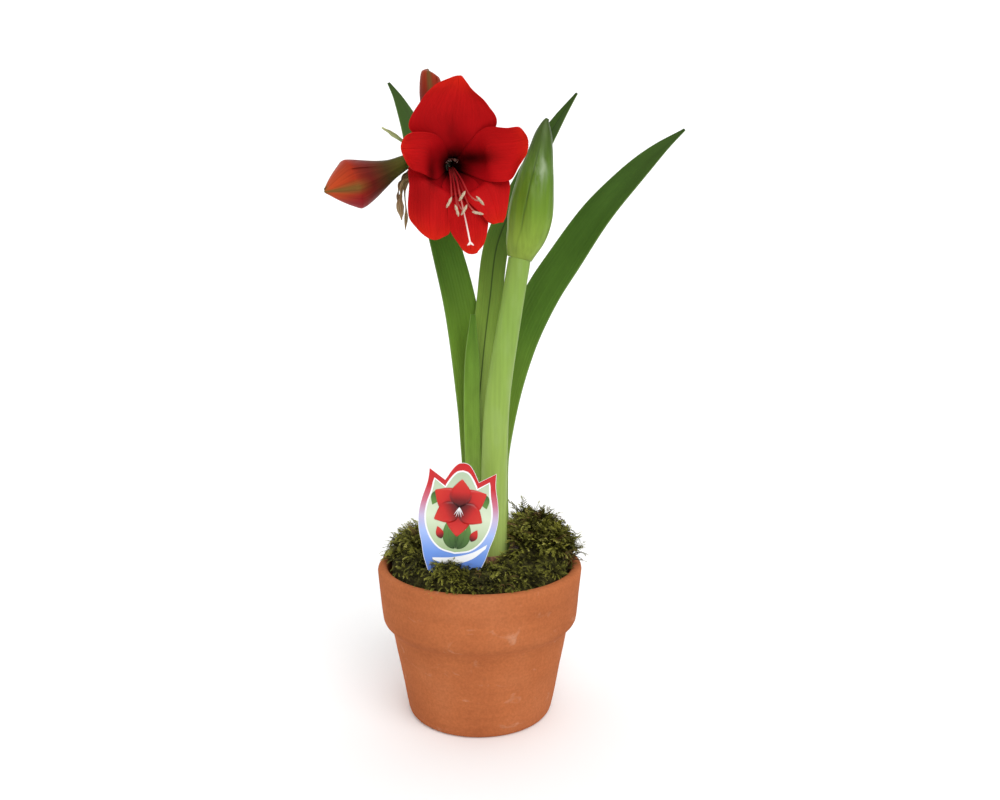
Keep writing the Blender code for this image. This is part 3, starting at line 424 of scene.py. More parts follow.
VEIN_RELIEF = 0.10


def leaf_middle(facts, rows, columns):
    """The blade's middle surface, as a grid of points."""
    path = flow(facts["spine"], rows)
    t = np.linspace(0, 1, rows)
    v = np.linspace(-1, 1, columns)
    along = directions(path)
    near, far = (np.array(face) for face in facts["faces"])
    face = near + (far - near) * t[:, None]
    face = unit(face - along * (face * along).sum(1)[:, None])
    side = np.cross(along, face)
    half = ease(facts["half_widths"], t * (len(facts["half_widths"]) - 1))
    low, high = facts["channel"]
    deep = (low + (high - low) * np.minimum(1.0, 1.6 * t)) * half
    ripple = facts["wave"] * np.sin(math.pi * t) * np.sin(9.0 * t)
    reach = half[:, None] * v
    lift = deep[:, None] * v**2 + 2 * ripple[:, None] * v**3
    lift = lift + facts.get("fold", 0.0) * (np.abs(v) - v**2) * half[:, None]
    return path[:, None] + side[:, None] * reach[..., None] + face[:, None] * lift[..., None]


def thicken(middle, thickness, edge=0.25):
    """Both faces of a blade round its middle surface, thinner at the edges."""
    rows, columns, _ = middle.shape
    along = np.gradient(middle, axis=0)
    across = np.gradient(middle, axis=1)
    normal = unit(np.cross(across, along))
    v = np.linspace(-1, 1, columns)
    rounded = edge + (1 - edge) * np.sqrt(np.clip(1 - v**6, 0, 1))
    half = 0.5 * thickness * rounded
    half = half[..., None] if np.ndim(half) == 2 else half[None, :, None]
    front, back = middle + normal * half, middle - normal * half
    ring = np.concatenate([front, back[:, ::-1]], axis=1)
    wide = 2 * columns
    faces = loop_faces(rows, wide)
    last = (rows - 1) * wide
    for j in range(columns - 1):
        faces.append((j + 1, j, wide - 1 - j, wide - 2 - j))
        faces.append((last + j, last + j + 1, last + wide - 2 - j, last + wide - 1 - j))
    u = (v + 1) / 2
    t = np.linspace(0, 1, rows)
    places = np.stack(np.broadcast_arrays(np.concatenate([u, u[::-1]])[None], t[:, None]), -1)
    is_back = np.broadcast_to(np.concatenate([np.zeros(columns), np.ones(columns)])[None], (rows, wide))
    return ring.reshape(-1, 3), faces, places.reshape(-1, 2), is_back.ravel()


def leaf_finish(name, tones, under, middle_line=0.0, edge=0.35):
    """Waxy green with fine lengthwise veins. Tones go from the foot to the tip."""
    made = Finish(name, 0.42, 0.2)
    made.shader.inputs["Specular Tint"].default_value = (0.75, 1.0, 0.45, 1.0)
    across, along = made.blade_place()
    base = made.ramp(along, tones)
    veins = made.grain(1.0, (70.0, 0.8, 1.0), along_blade=True, detail=2.0)
    base = made.mottle(base, veins, 0.88, 1.10)
    clouds = made.grain(1.0, (2.0, 7.0, 1.0), along_blade=True, detail=4.0)
    base = made.mottle(base, clouds, 0.86, 1.14)
    margin = made.from_middle(across)
    base = made.mix(made.ramp(margin, [(0.45, 0.0), (0.49, edge)]), base, (0.20, 0.30, 0.09))
    # A darker line down the middle of the blade, used on the centre leaf along its fold.
    if middle_line:
        dark_line = made.ramp(margin, [(0.0, middle_line), (0.018, middle_line), (0.05, 0.0)])
        base = made.mix(dark_line, base, (0.012, 0.028, 0.008))
    base = made.mix(made.sums("MULTIPLY", made.value("underside"), 0.7), base, under)
    made.colour(base)
    made.gloss(made.ramp(clouds, [(0.3, 0.34), (0.7, 0.48)]))
    made.bump(veins, 0.012, 0.35)
    return made


LEAF_TONES = {
    "leaf_left": [
        (0.05, (0.29, 0.40, 0.10)), (0.25, (0.19, 0.31, 0.045)), (0.45, (0.13, 0.24, 0.026)),
        (0.65, (0.050, 0.125, 0.011)), (0.85, (0.028, 0.070, 0.008)), (1.0, (0.024, 0.052, 0.008)),
    ],
    "leaf_short": [(0.1, (0.34, 0.46, 0.12)), (0.5, (0.21, 0.35, 0.052)), (1.0, (0.085, 0.18, 0.020))],
    "leaf_centre": [
        (0.08, (0.40, 0.50, 0.15)), (0.3, (0.31, 0.43, 0.10)), (0.5, (0.18, 0.29, 0.042)),
        (0.7, (0.06, 0.13, 0.017)), (0.85, (0.035, 0.08, 0.011)), (1.0, (0.03, 0.06, 0.010)),
    ],
    "leaf_right": [
        (0.08, (0.30, 0.40, 0.10)), (0.3, (0.15, 0.26, 0.034)), (0.5, (0.068, 0.145, 0.017)),
        (0.75, (0.040, 0.092, 0.011)), (1.0, (0.032, 0.066, 0.012)),
    ],
}

for name, facts in LEAVES.items():
    middle = leaf_middle(facts, LEAF_ROWS, LEAF_COLUMNS)
    v = np.linspace(-1, 1, LEAF_COLUMNS)
    t = np.linspace(0, 1, LEAF_ROWS)
    relief = 1.0 + VEIN_RELIEF * np.cos(LEAF_VEINS * math.pi * v)
    body = LEAF_THICKNESS * (1.0 - TIP_THINNING * t)[:, None] * relief
    points, faces, places, is_back = thicken(middle, body)
    middle_line = 0.75 if name == "leaf_centre" else 0.0
    finish = leaf_finish(name, LEAF_TONES[name], (0.13, 0.19, 0.065), middle_line)
    show(f"blade_{name}", points, faces, finish, "leaf", [name], places, {"underside": is_back}, sharp=70)


# The bud's stalk.
# Real one: a smooth hollow stem, pale yellow-green with a faint bloom, a little flattened,
# that carries the second bud. A thin brown line marks where the bud sits.

STALK_ROWS = 120
STALK_SIDES = 64
STALK_SQUASH = 0.93


def stem_rings(points, radii, rows, sides, squash=1.0, across=(1.0, 0.0, 0.0)):
    """Rings of points round a smooth line, with radii spaced evenly along it."""
    path = flow(points, rows)
    along = directions(path)
    side = unit(np.array(across) - along * (along @ np.array(across))[:, None])
    other = np.cross(along, side)
    radius = ease(radii, np.linspace(0, len(radii) - 1, rows))[:, None, None]
    turn = np.linspace(0, 2 * math.pi, sides, endpoint=False)[None, :, None]
    return path[:, None] + radius * (side[:, None] * np.cos(turn) + other[:, None] * np.sin(turn) * squash)


def stem_mesh(rings):
    """A closed skin over rings of points, with (round, along) places."""
    rows, sides, _ = rings.shape
    faces = loop_faces(rows, sides)
    faces.append(tuple(range(sides))[::-1])
    faces.append(tuple(range((rows - 1) * sides, rows * sides)))
    round_place = np.linspace(0, 1, sides, endpoint=False)
    along_place = np.linspace(0, 1, rows)
    places = np.stack(np.broadcast_arrays(round_place[None], along_place[:, None]), -1)
    return rings.reshape(-1, 3), faces, places.reshape(-1, 2)


def show_stem(name, rings, finish, nodes=()):
    """A stem that knows the height along it, from 0 to 1."""
    points, faces, places = stem_mesh(rings)
    show(name, points, faces, finish, "stalk", nodes, places, {"height": places[:, 1]}, sharp=60)


stalk = Finish("stalk_skin", 0.45, 0.25)
stalk_tone = stalk.ramp(stalk.value("height"), [
    (0.0, (0.36, 0.46, 0.12)), (0.3, (0.28, 0.40, 0.075)), (0.8, (0.21, 0.34, 0.055)),
    (1.0, (0.21, 0.33, 0.055)),
])
stalk_streaks = stalk.grain(1.0, (4.5, 4.5, 0.12), detail=3.0)
stalk_tone = stalk.mottle(stalk_tone, stalk_streaks, 0.92, 1.07)
stalk_haze = stalk.ramp(stalk.grain(0.8, (1.0, 1.0, 0.3), detail=6.0), [(0.5, 0.0), (0.75, 0.25)])
stalk.colour(stalk.mix(stalk_haze, stalk_tone, (0.34, 0.45, 0.20)))
stalk.bump(stalk_streaks, 0.015, 0.3)

BUD_STALK = [
    (1.2, -1.25, SOCKET_BOTTOM), (1.2, -1.25, 14.6), (1.18, -1.4, 18.5), (1.25, -1.65, 22.5),
    (1.45, -1.9, 26.3), (1.85, -2.0, 29.5), (2.5, -2.0, 33.5), (3.21, -2.0, 37.82),
]
BUD_STALK_RADII = [1.05, 1.06, 1.06, 1.04, 0.99, 0.95, 0.9, 0.88]
rings = stem_rings(BUD_STALK, BUD_STALK_RADII, STALK_ROWS, STALK_SIDES, STALK_SQUASH)
show_stem("stalk_of_bud", rings, stalk, ["scape_bud"])


# The closed bud.
# Real one: two fleshy green valves that still wrap the flowers, joined along a seam, ribbed
# lengthwise, pale at the foot and dark at the blunt bent tip.

BUD_LINE = [
    (3.205, -2.0, 37.79), (3.45, -2.0, 38.8), (3.82, -2.0, 40.0), (4.03, -2.0, 41.2), (4.26, -2.0, 42.8),
    (4.50, -2.0, 44.3), (4.78, -2.0, 45.8), (4.98, -2.0, 47.1), (5.15, -2.0, 48.0), (5.30, -2.0, 48.35),
]
BUD_RADII = [0.96, 1.36, 1.60, 1.73, 1.69, 1.55, 1.37, 1.13, 0.89, 0.62, 0.14]
BUD_ROWS = 120
BUD_SIDES = 120
BUD_SQUASH = 0.86
RIB_COUNT = 17
RIB_HEIGHT = 0.006
SEAM_TURN = 1.95
SEAM_DEPTH = 0.035
SEAM_SHARPNESS = 0.0012
# A painted sheen: a pale highlight painted on the bud, on its side towards the viewer, at this turn and
# height.
PAINTED_SHEEN_TURN = 4.9  # radians round the bud, towards the viewer
PAINTED_SHEEN_HEIGHT = 0.62

rings = stem_rings(BUD_LINE, BUD_RADII, BUD_ROWS, BUD_SIDES, BUD_SQUASH)
middle = rings.mean(1, keepdims=True)
turn = np.linspace(0, 2 * math.pi, BUD_SIDES, endpoint=False)[None, :, None]
height = np.linspace(0, 1, BUD_ROWS)[:, None, None]
seam = np.exp(-(np.sin(turn + SEAM_TURN - 0.25 * height) ** 2) / SEAM_SHARPNESS)
seam = seam * np.sin(math.pi * np.clip(height * 1.02, 0, 1))
ribs = np.cos(RIB_COUNT * turn + 1.5 * np.sin(6 * height)) * np.sin(math.pi * height) ** 0.5
rings = rings + (rings - middle) * (RIB_HEIGHT * ribs - SEAM_DEPTH * seam)
points, faces, places = stem_mesh(rings)

bud_skin = Finish("bud_skin", 0.36, 0.25)
bud_skin.shader.inputs["Specular Tint"].default_value = (0.8, 1.0, 0.6, 1.0)
bud_tone = bud_skin.ramp(bud_skin.value("height"), [
    (0.0, (0.20, 0.28, 0.036)), (0.12, (0.215, 0.32, 0.038)), (0.35, (0.13, 0.23, 0.020)),
    (0.6, (0.085, 0.168, 0.013)), (0.82, (0.052, 0.10, 0.011)), (1.0, (0.04, 0.065, 0.012)),
])
bud_streaks = bud_skin.grain(1.0, (3.4, 3.4, 0.16), detail=3.0)
bud_tone = bud_skin.mottle(bud_tone, bud_streaks, 0.86, 1.12)
# Painted sheen: the pale highlight patch, broken up by a grain.
bud_painted_sheen = bud_skin.ramp(bud_skin.grain(1.0, (1.6, 1.6, 0.4), detail=8.0), [(0.45, 0.0), (0.7, 1.0)])
bud_painted_sheen = bud_skin.sums("MULTIPLY", bud_painted_sheen, bud_skin.value("haze"))
bud_tone = bud_skin.mix(bud_painted_sheen, bud_tone, (0.34, 0.42, 0.27))
seam_shade = bud_skin.sums("MULTIPLY", bud_skin.value("seam"), 0.8)
bud_skin.colour(bud_skin.mix(seam_shade, bud_tone, (0.03, 0.06, 0.012)))
bud_skin.bump(bud_streaks, 0.02, 0.35)
bud_skin.shader.inputs["Coat Weight"].default_value = 0.07
bud_skin.shader.inputs["Coat Roughness"].default_value = 0.3
# Where the painted sheen lies on the bud, towards the viewer.
haze = np.exp(-((turn - PAINTED_SHEEN_TURN) ** 2) / 0.18 - (height - PAINTED_SHEEN_HEIGHT) ** 2 / 0.014) * 0.9
values = {"height": places[:, 1], "seam": np.broadcast_to(seam, (BUD_ROWS, BUD_SIDES, 1)),
          "haze": np.broadcast_to(haze, (BUD_ROWS, BUD_SIDES, 1))}
show("bud_valves", points, faces, bud_skin, "bud", ["bud"], places, values)


# The flowering stalk and its head.
# Real one: the first stem, hidden behind the leaves, that swells at the top where three short
# flower stems part, each ending in a green seed case under its bloom.

HEAD = np.array([-3.3, 1.9, 45.0])
FRONT_FOOT = np.array([-2.4, -1.0, 44.85])
FRONT_AXIS = unit(np.array([0.22, -0.97, -0.09]))
LEFT_FOOT = np.array([-5.7, 0.55, 45.5])
LEFT_AXIS = unit(np.array([-0.86, -0.36, -0.36]))
BACK_FOOT = np.array([-3.4, 3.0, 45.95])
BACK_AXIS = unit(np.array([-0.10, 0.20, 0.975]))

OPEN_STALK = [
    (-0.4, 2.25, SOCKET_BOTTOM), (-0.4, 2.25, 14.6), (-0.5, 2.3, 18.5), (-0.65, 2.3, 24.0),
    (-0.95, 2.2, 30.0), (-1.6, 2.1, 35.5), (-2.45, 2.0, 40.0), (-3.22, 1.92, 44.5),
]
OPEN_STALK_RADII = [0.82, 0.84, 0.84, 0.82, 0.8, 0.78, 0.76, 0.80]
rings = stem_rings(OPEN_STALK, OPEN_STALK_RADII, STALK_ROWS, STALK_SIDES)
show_stem("stalk_of_blooms", rings, stalk, ["scape_open"])

head_line = [HEAD - (-0.12, 0.0, 0.98), HEAD - (-0.1, 0, 0.5), HEAD, HEAD + (0, 0, 0.55), HEAD + (0, 0, 0.9)]
points, faces, places = stem_mesh(stem_rings(head_line, [0.72, 0.9, 0.95, 0.72, 0.1], 30, 48))
show("stalk_head", points, faces, stalk, "stalk", (), places, {"height": np.full(len(points), 0.9)})

case = Finish("seed_case_green", 0.4, 0.45)
case_tone = case.ramp(case.value("height"), [
    (0.0, (0.20, 0.33, 0.07)), (0.6, (0.12, 0.22, 0.04)), (1.0, (0.07, 0.08, 0.012)),
])
case.colour(case.mottle(case_tone, case.grain(3.0, detail=5.0), 0.8, 1.2))

CASE_ROWS = 40
CASE_SIDES = 36
CASE_RADII = [0.42, 0.36, 0.38, 0.55, 0.56, 0.42]
LOBE_HEIGHT = 0.06
FLOWER_STEMS = {
    "front": ([(-3.1, 1.8, 45.0), (-2.7, 1.0, 44.95)], FRONT_FOOT, FRONT_AXIS),
    "left": ([(-3.5, 1.9, 45.1), (-4.4, 1.5, 45.7)], LEFT_FOOT, LEFT_AXIS),
    "back": ([(-3.3, 2.0, 45.1), (-3.4, 2.6, 45.2)], BACK_FOOT, BACK_AXIS),
}
for name, (starts, foot, axis) in FLOWER_STEMS.items():
    line = [*starts, foot - axis * 0.7, foot - axis * 0.04]
    rings = stem_rings(line, CASE_RADII, CASE_ROWS, CASE_SIDES)
    lobes = 1.0 + LOBE_HEIGHT * np.cos(3 * np.linspace(0, 2 * math.pi, CASE_SIDES, endpoint=False))
    middle = rings.mean(1, keepdims=True)
    show_stem(f"flower_stem_{name}", middle + (rings - middle) * lobes[None, :, None], case)


# The open bloom.
# Real one: a trumpet of six velvety red petals, three outer and three inner, that overlap at the
# foot, flare and curl at their wavy rims. Fine veins run out of the throat. The throat is painted
# nearly black: its own deep red, darkened further by painted shade deep in the funnel and in
# patches round it.

FUNNEL = [(0.0, 0.44), (1.4, 0.60), (2.8, 1.05), (4.3, 2.0)]  # (along the axis, out from it)
OUTER_ARC = 52.0
INNER_ARC = 45.0
INNER_LIFT = 0.14
PETALS = {
    # Each has its direction round the axis in degrees from the top, whether it is an inner one, and
    # rows of (edge, midrib, edge), clockwise, from the funnel's mouth to its tip.
    "top": (3, False, [
        [(-4.72, -7.58, 46.81), (-1.74, -6.57, 47.66), (1.46, -6.22, 47.30)],
        [(-3.73, -8.24, 48.66), (-1.41, -7.44, 49.01), (0.83, -7.19, 48.44)],
        [(-2.67, -8.41, 49.66), (-1.24, -7.89, 49.70), (-0.20, -7.77, 49.30)],
        [(-1.75, -8.16, 50.06), (-1.20, -8.02, 50.28), (-0.93, -7.96, 50.18)],
    ]),
    "lower_right": (128, False, [
        [(2.26, -5.59, 43.58), (0.66, -5.59, 43.01), (-0.79, -6.13, 41.96)],
        [(2.33, -6.14, 41.96), (1.24, -6.15, 41.60), (0.23, -6.53, 41.01)],
        [(2.11, -6.50, 40.87), (1.46, -6.54, 40.72), (0.74, -6.78, 40.43)],
        [(1.90, -6.61, 40.36), (1.54, -6.69, 40.29), (1.17, -6.76, 40.21)],
    ]),
    "lower_left": (213, False, [
        [(-1.70, -5.95, 42.30), (-3.30, -6.05, 43.10), (-4.80, -6.65, 44.30)],
        [(-1.95, -6.36, 41.59), (-3.39, -6.41, 41.94), (-4.82, -7.12, 42.87)],
        [(-1.93, -6.95, 40.21), (-3.36, -7.09, 40.41), (-4.85, -7.83, 41.42)],
        [(-1.98, -7.31, 39.55), (-3.26, -7.50, 39.54), (-4.69, -8.12, 40.49)],
        [(-2.47, -7.60, 39.26), (-3.25, -7.76, 39.11), (-4.21, -8.05, 39.87)],
    ]),
    "right": (72, True, [
        [(0.53, -6.20, 47.02), (0.88, -5.66, 45.41), (1.17, -5.71, 43.28)],
        [(2.11, -6.66, 46.95), (2.62, -6.20, 45.49), (2.40, -6.36, 43.36)],
        [(3.03, -6.86, 46.99), (3.40, -6.56, 45.72), (2.90, -6.74, 44.16)],
        [(3.46, -6.83, 46.51), (3.68, -6.71, 45.84), (3.47, -6.69, 45.07)],
    ]),
    "bottom": (172, True, [
        [(0.51, -5.84, 41.98), (-0.88, -5.83, 41.77), (-2.16, -6.40, 41.52)],
        [(0.81, -6.34, 40.38), (-0.65, -6.34, 40.09), (-2.00, -6.94, 39.92)],
        [(0.59, -6.78, 39.00), (-0.50, -6.80, 38.79), (-1.42, -7.23, 38.92)],
        [(0.01, -6.94, 38.21), (-0.49, -7.04, 38.07), (-0.99, -7.18, 38.35)],
    ]),
    "left": (284, True, [
        [(-3.97, -6.94, 43.80), (-3.55, -6.67, 45.43), (-3.08, -6.96, 46.50)],
        [(-4.53, -7.79, 43.95), (-4.59, -7.72, 45.36), (-4.34, -7.97, 46.46)],
        [(-4.83, -8.30, 44.28), (-5.09, -8.34, 45.28), (-4.92, -8.48, 46.10)],
        [(-5.01, -8.48, 44.72), (-5.20, -8.57, 45.25), (-5.13, -8.59, 45.65)],
    ]),
}
PETAL_ROWS = 100
PETAL_COLUMNS = 61
PETAL_THICKNESS = 0.09
FRILL_HEIGHT = 0.13
FRILL_RIPPLE = 0.045
GROOVES = 7
GROOVE_DEPTH = 0.011
MIDRIB_DEPTH = 0.05
# Patches of painted shade round the throat and on the lower left petal.
PAINTED_SHADE_PATCHES = [  # (aside, up, half width, half height, how dark), seen from the front
    (1.15, 0.62, 1.40, 0.52, 0.96), (-1.98, -0.55, 0.46, 1.05, 0.80),
    (-0.55, 2.5, 0.32, 0.55, 0.25), (-3.1, -2.2, 1.1, 1.7, 0.36),
]


def bloom_axes(axis):
    """A bloom's top, and the side on its right."""
    top = unit(np.array([0.0, 0.0, 1.0]) - axis * axis[2])
    return top, np.cross(top, axis)


def tube_rows(foot, axis, angle, arc, funnel, lift):
    """Rows of (edge, midrib, edge) down in the bloom's tube."""
    top, side = bloom_axes(axis)
    rows = []
    for reach, out in funnel:
        row = []
        for step in (-arc, 0.0, arc):
            turn = math.radians(angle + step)
            spoke = top * math.cos(turn) + side * math.sin(turn)
            row.append(foot + axis * reach + spoke * (out - lift))
        rows.append(row)
    return rows


def petal_middle(rows, count, columns):
    """A smooth surface through rows of (edge, midrib, edge)."""
    rows = np.array(rows)
    spots = np.linspace(0, len(rows) - 1, count)
    first, centre, last = (ease(rows[:, k], spots)[:, None] for k in range(3))
    v = np.linspace(-1, 1, columns)[None, :, None]
    return centre + (last - first) / 2 * v + ((first + last) / 2 - centre) * v**2


petal_red = Finish("petal_velvet", 0.6, 0.16)
petal_red.shader.inputs["Specular Tint"].default_value = (1.0, 0.20, 0.12, 1.0)
_, petal_along = petal_red.blade_place()
# Dark at the foot: the throat's own deep red, darkened further as painted shade down in the tube.
petal_tone = petal_red.ramp(petal_along, [
    (0.0, (0.05, 0.03, 0.004)), (0.14, (0.06, 0.001, 0.002)), (0.30, (0.25, 0.003, 0.006)),
    (0.5, (0.39, 0.004, 0.007)), (0.72, (0.45, 0.006, 0.007)), (1.0, (0.55, 0.015, 0.006)),
])
petal_clouds = petal_red.grain(1.0, (2.5, 3.0, 1.0), along_blade=True, detail=3.0)
petal_tone = petal_red.mottle(petal_tone, petal_clouds, 0.86, 1.12)
petal_veins = petal_red.grain(1.0, (64.0, 2.0, 1.0), along_blade=True, detail=3.0, warp=0.2)
petal_tone = petal_red.mottle(petal_tone, petal_veins, 0.91, 1.07)
# The throat value is painted shade, near black, deep in the funnel and in patches round it.
petal_tone = petal_red.mix(petal_red.value("throat"), petal_tone, (0.030, 0.0006, 0.0012))
petal_back = petal_red.mix(0.4, petal_tone, (0.36, 0.02, 0.015))
petal_red.colour(petal_red.mix(petal_red.value("underside"), petal_tone, petal_back))
petal_red.bump(petal_veins, 0.02, 0.35)

top, side = bloom_axes(FRONT_AXIS)
for number, (name, (angle, inner, blade)) in enumerate(PETALS.items()):
    arc, lift = (INNER_ARC, INNER_LIFT) if inner else (OUTER_ARC, 0.0)
    rows = tube_rows(FRONT_FOOT, FRONT_AXIS, angle, arc, FUNNEL, lift)
    rows += [[np.array(p) + FRONT_AXIS * lift for p in row] for row in blade]
    middle = petal_middle(rows, PETAL_ROWS, PETAL_COLUMNS)
    v = np.linspace(-1, 1, PETAL_COLUMNS)[None]
    t = np.linspace(0, 1, PETAL_ROWS)[:, None]
    spread = np.clip((t - 0.45) / 0.4, 0, 1)
    phase = 1.7 * (number + 1)
    frill = FRILL_HEIGHT * spread * np.abs(v) ** 2.4 * np.sin(13 * t + phase + 1.6 * v)
    frill = frill + FRILL_RIPPLE * spread * np.abs(v) ** 3 * np.sin(37 * t + 2.3 * phase)
    grooves = -GROOVE_DEPTH * spread * np.cos(2 * GROOVES * math.pi * v)
    grooves = grooves - MIDRIB_DEPTH * spread * np.exp(-(v**2) / 0.004)
    middle = middle + FRONT_AXIS * (frill + grooves)[..., None]
    points, faces, places, is_back = thicken(middle, PETAL_THICKNESS, 0.5)
    away = points - FRONT_FOOT
    aside, up, depth = away @ side, away @ top, away @ FRONT_AXIS
    # Painted shade: darker the deeper in the funnel, and in the painted shade patches.
    throat = 0.97 * np.clip((3.9 - depth) / 1.7, 0, 1)
    for x, y, wide, high, dark in PAINTED_SHADE_PATCHES:
        throat = np.maximum(throat, dark * np.exp(-(((aside - x) / wide) ** 2 + ((up - y) / high) ** 2)))
    nodes = ["bloom_front"] if name == "top" else ()
    values = {"underside": is_back, "throat": throat}
    show(f"petal_{name}", points, faces, petal_red, "petal", nodes, places, values, sharp=70)


# The stamens and the style.
# Real ones: six red threads that leave the throat along its floor and curl up at their ends under
# pale anthers, and one longer thread that ends in a white three-armed stigma.

THREAD_RADIUS = 0.065
THREAD_RADII = [THREAD_RADIUS * 1.1, THREAD_RADIUS, THREAD_RADIUS * 0.8]
THREAD_STARTS = (1.4, 2.6, 4.4)
THREADS = [  # (aside, down) at each start, then (along the bloom's axis, aside, down)
    ((-0.12, 0.05), (-0.28, 0.35), (-0.50, 1.05), (6.1, -0.72, 2.15), (7.2, -0.98, 2.55), (7.9, -1.20, 2.55)),
    ((0.00, 0.10), (-0.12, 0.45), (-0.26, 1.20), (6.2, -0.40, 2.45), (7.3, -0.52, 2.95), (8.0, -0.66, 3.10)),
    ((0.10, 0.05), (0.02, 0.35), (-0.04, 1.00), (6.0, -0.14, 1.95), (7.0, -0.20, 2.20), (7.6, -0.22, 2.10)),
    ((0.15, 0.00), (0.18, 0.30), (0.30, 0.95), (6.0, 0.55, 1.95), (7.0, 0.82, 2.35), (7.6, 1.08, 2.40)),
    ((0.12, 0.12), (0.15, 0.50), (0.24, 1.30), (6.2, 0.42, 2.55), (7.2, 0.62, 3.05), (7.9, 0.86, 3.25)),
    ((-0.12, 0.12), (-0.20, 0.52), (-0.28, 1.32), (6.1, -0.30, 2.50), (7.1, -0.22, 2.95), (7.8, -0.10, 3.05)),
]
STYLE = [
    (1.4, 0.0, 0.15), (2.6, -0.02, 0.46), (4.3, -0.02, 1.14),
    (5.9, 0.08, 2.65), (7.0, 0.22, 4.05), (7.6, 0.40, 5.35),
]
ANTHER_LENGTH = 0.85
ANTHER_RADII = [0.03, 0.11, 0.15, 0.13, 0.15, 0.11, 0.03]
ANTHER_SIDES = 16
ANTHER_LEANS = [(0.45, -0.9), (0.30, 0.9), (0.45, -0.7), (-0.75, -0.8), (-0.85, -0.15), (-0.5, 0.85)]

thread_red = Finish("thread_red", 0.45, 0.4)
thread_red.tint(thread_red.value("height"), [
    (0.0, (0.30, 0.02, 0.02)), (0.5, (0.36, 0.010, 0.014)), (0.8, (0.46, 0.05, 0.045)),
    (1.0, (0.62, 0.26, 0.20)),
])
pollen = Finish("pollen_cream", 0.8, 0.2)
pollen.tint(pollen.grain(16.0, detail=4.0), [(0.3, (0.30, 0.17, 0.10)), (0.6, (0.60, 0.50, 0.36))])
pollen.bump(pollen.grain(30.0, detail=3.0), 0.02, 0.8)
style_white = Finish("style_white", 0.5, 0.4)
style_white.tint(style_white.value("height"), [
    (0.0, (0.40, 0.02, 0.02)), (0.6, (0.62, 0.18, 0.15)), (0.85, (0.80, 0.62, 0.56)),
    (1.0, (0.85, 0.78, 0.72)),
])


def in_bloom(spot):
    """A place along the bloom's axis, aside and down, as plant centimetres."""
    along, aside, down = spot
    return FRONT_FOOT + FRONT_AXIS * along + side * aside - top * down


def gather(parts):
    """Several (points, faces) as one, so that a cluster is one piece."""
    points, faces, count = [], [], 0
    for some_points, some_faces in parts:
        points.append(some_points)
        faces += [tuple(index + count for index in face) for face in some_faces]
        count += len(some_points)
    return np.vstack(points), faces


def show_cluster(name, parts, heights, finish, nodes=()):
    """Several threads or scales as one piece, with the height along each."""
    points, faces = gather(parts)
    show(name, points, faces, finish, "stamen", nodes, None, {"height": np.concatenate(heights)})


threads, heights, anthers = [], [], []
for (*feet, bend, rise, end), (aside, down) in zip(THREADS, ANTHER_LEANS):
    spots = [(start, *foot) for start, foot in zip(THREAD_STARTS, feet)] + [bend, rise, end]
    points, faces, places = stem_mesh(stem_rings([in_bloom(s) for s in spots], THREAD_RADII, 40, 12))
    threads.append((points, faces))
    heights.append(places[:, 1])
    lean = unit(side * aside - top * down) * ANTHER_LENGTH / 2
    tip = in_bloom(spots[-1])
    line = [tip - lean - FRONT_AXIS * 0.05, tip + FRONT_AXIS * 0.05, tip + lean - FRONT_AXIS * 0.05]
    rings = stem_rings(line, ANTHER_RADII, 24, ANTHER_SIDES, 0.7, across=FRONT_AXIS)
    split = np.exp(-((np.arange(ANTHER_SIDES) - ANTHER_SIDES // 2) ** 2) / 1.5)[None, :, None] * 0.35
    middle = rings.mean(1, keepdims=True)
    points, faces, _ = stem_mesh(middle + (rings - middle) * (1 - split))
    anthers.append((points, faces))
show_cluster("stamen_threads", threads, heights, thread_red, ["stamens_front"])
show("anthers", *gather(anthers), pollen, "stamen")

# Pale scales at the throat, only across its upper arc: their pale tips are partly the scales' own colour and
# partly a painted highlight.
scales_with_painted_glint = Finish("throat_scales", 0.6, 0.2)
scales_with_painted_glint.tint(scales_with_painted_glint.value("height"), [
    (0.0, (0.10, 0.004, 0.004)), (0.5, (0.40, 0.14, 0.11)), (1.0, (0.70, 0.52, 0.44)),
])
SCALE_COUNT = 11  # a fringe of pale scales at the top of the threads' feet
FIRST_SCALE = -62  # degrees from the bloom's top
SCALE_APART = 11
draw = random.Random(12)
scales, heights = [], []
for k in range(SCALE_COUNT):
    turn = math.radians(FIRST_SCALE + SCALE_APART * k + draw.uniform(-5, 5))
    spoke = top * math.cos(turn) + side * math.sin(turn)
    reach = draw.uniform(2.3, 2.9)
    marks = ((1.75, 0.52), ((1.75 + reach) / 2, 0.60), (reach, draw.uniform(0.34, 0.58)))
    line = [FRONT_FOOT + FRONT_AXIS * along + spoke * out for along, out in marks]
    points, faces, places = stem_mesh(stem_rings(line, [0.05, 0.055, 0.035, 0.01], 12, 7))
    scales.append((points, faces))
    heights.append(places[:, 1] if k % 3 else places[:, 1] * 0.5)
show_cluster("throat_scales", scales, heights, scales_with_painted_glint)

rings = stem_rings([in_bloom(s) for s in STYLE], [0.07, 0.06, 0.055, 0.06], 60, 12)
points, faces, places = stem_mesh(rings)
style_parts, style_heights = [(points, faces)], [places[:, 1]]
end = in_bloom(STYLE[-1])
for k in range(3):
    turn = math.radians(120 * k + 30)
    out = (side * math.cos(turn) + FRONT_AXIS * math.sin(turn)) * 0.27 - top * 0.16
    rings = stem_rings([end + top * 0.04, end + out * 0.6, end + out], [0.065, 0.07, 0.06, 0.02], 12, 10)
    points, faces, places = stem_mesh(rings)
    style_parts.append((points, faces))
    style_heights.append(np.ones(len(points)))
show_cluster("style", style_parts, style_heights, style_white)


# The opening blooms.
# Real ones: two more flowers that have just left the bud, one lying out to the left and one
# standing up at the back. Three outer petals, orange-red with an olive keel, still wrap the rest.

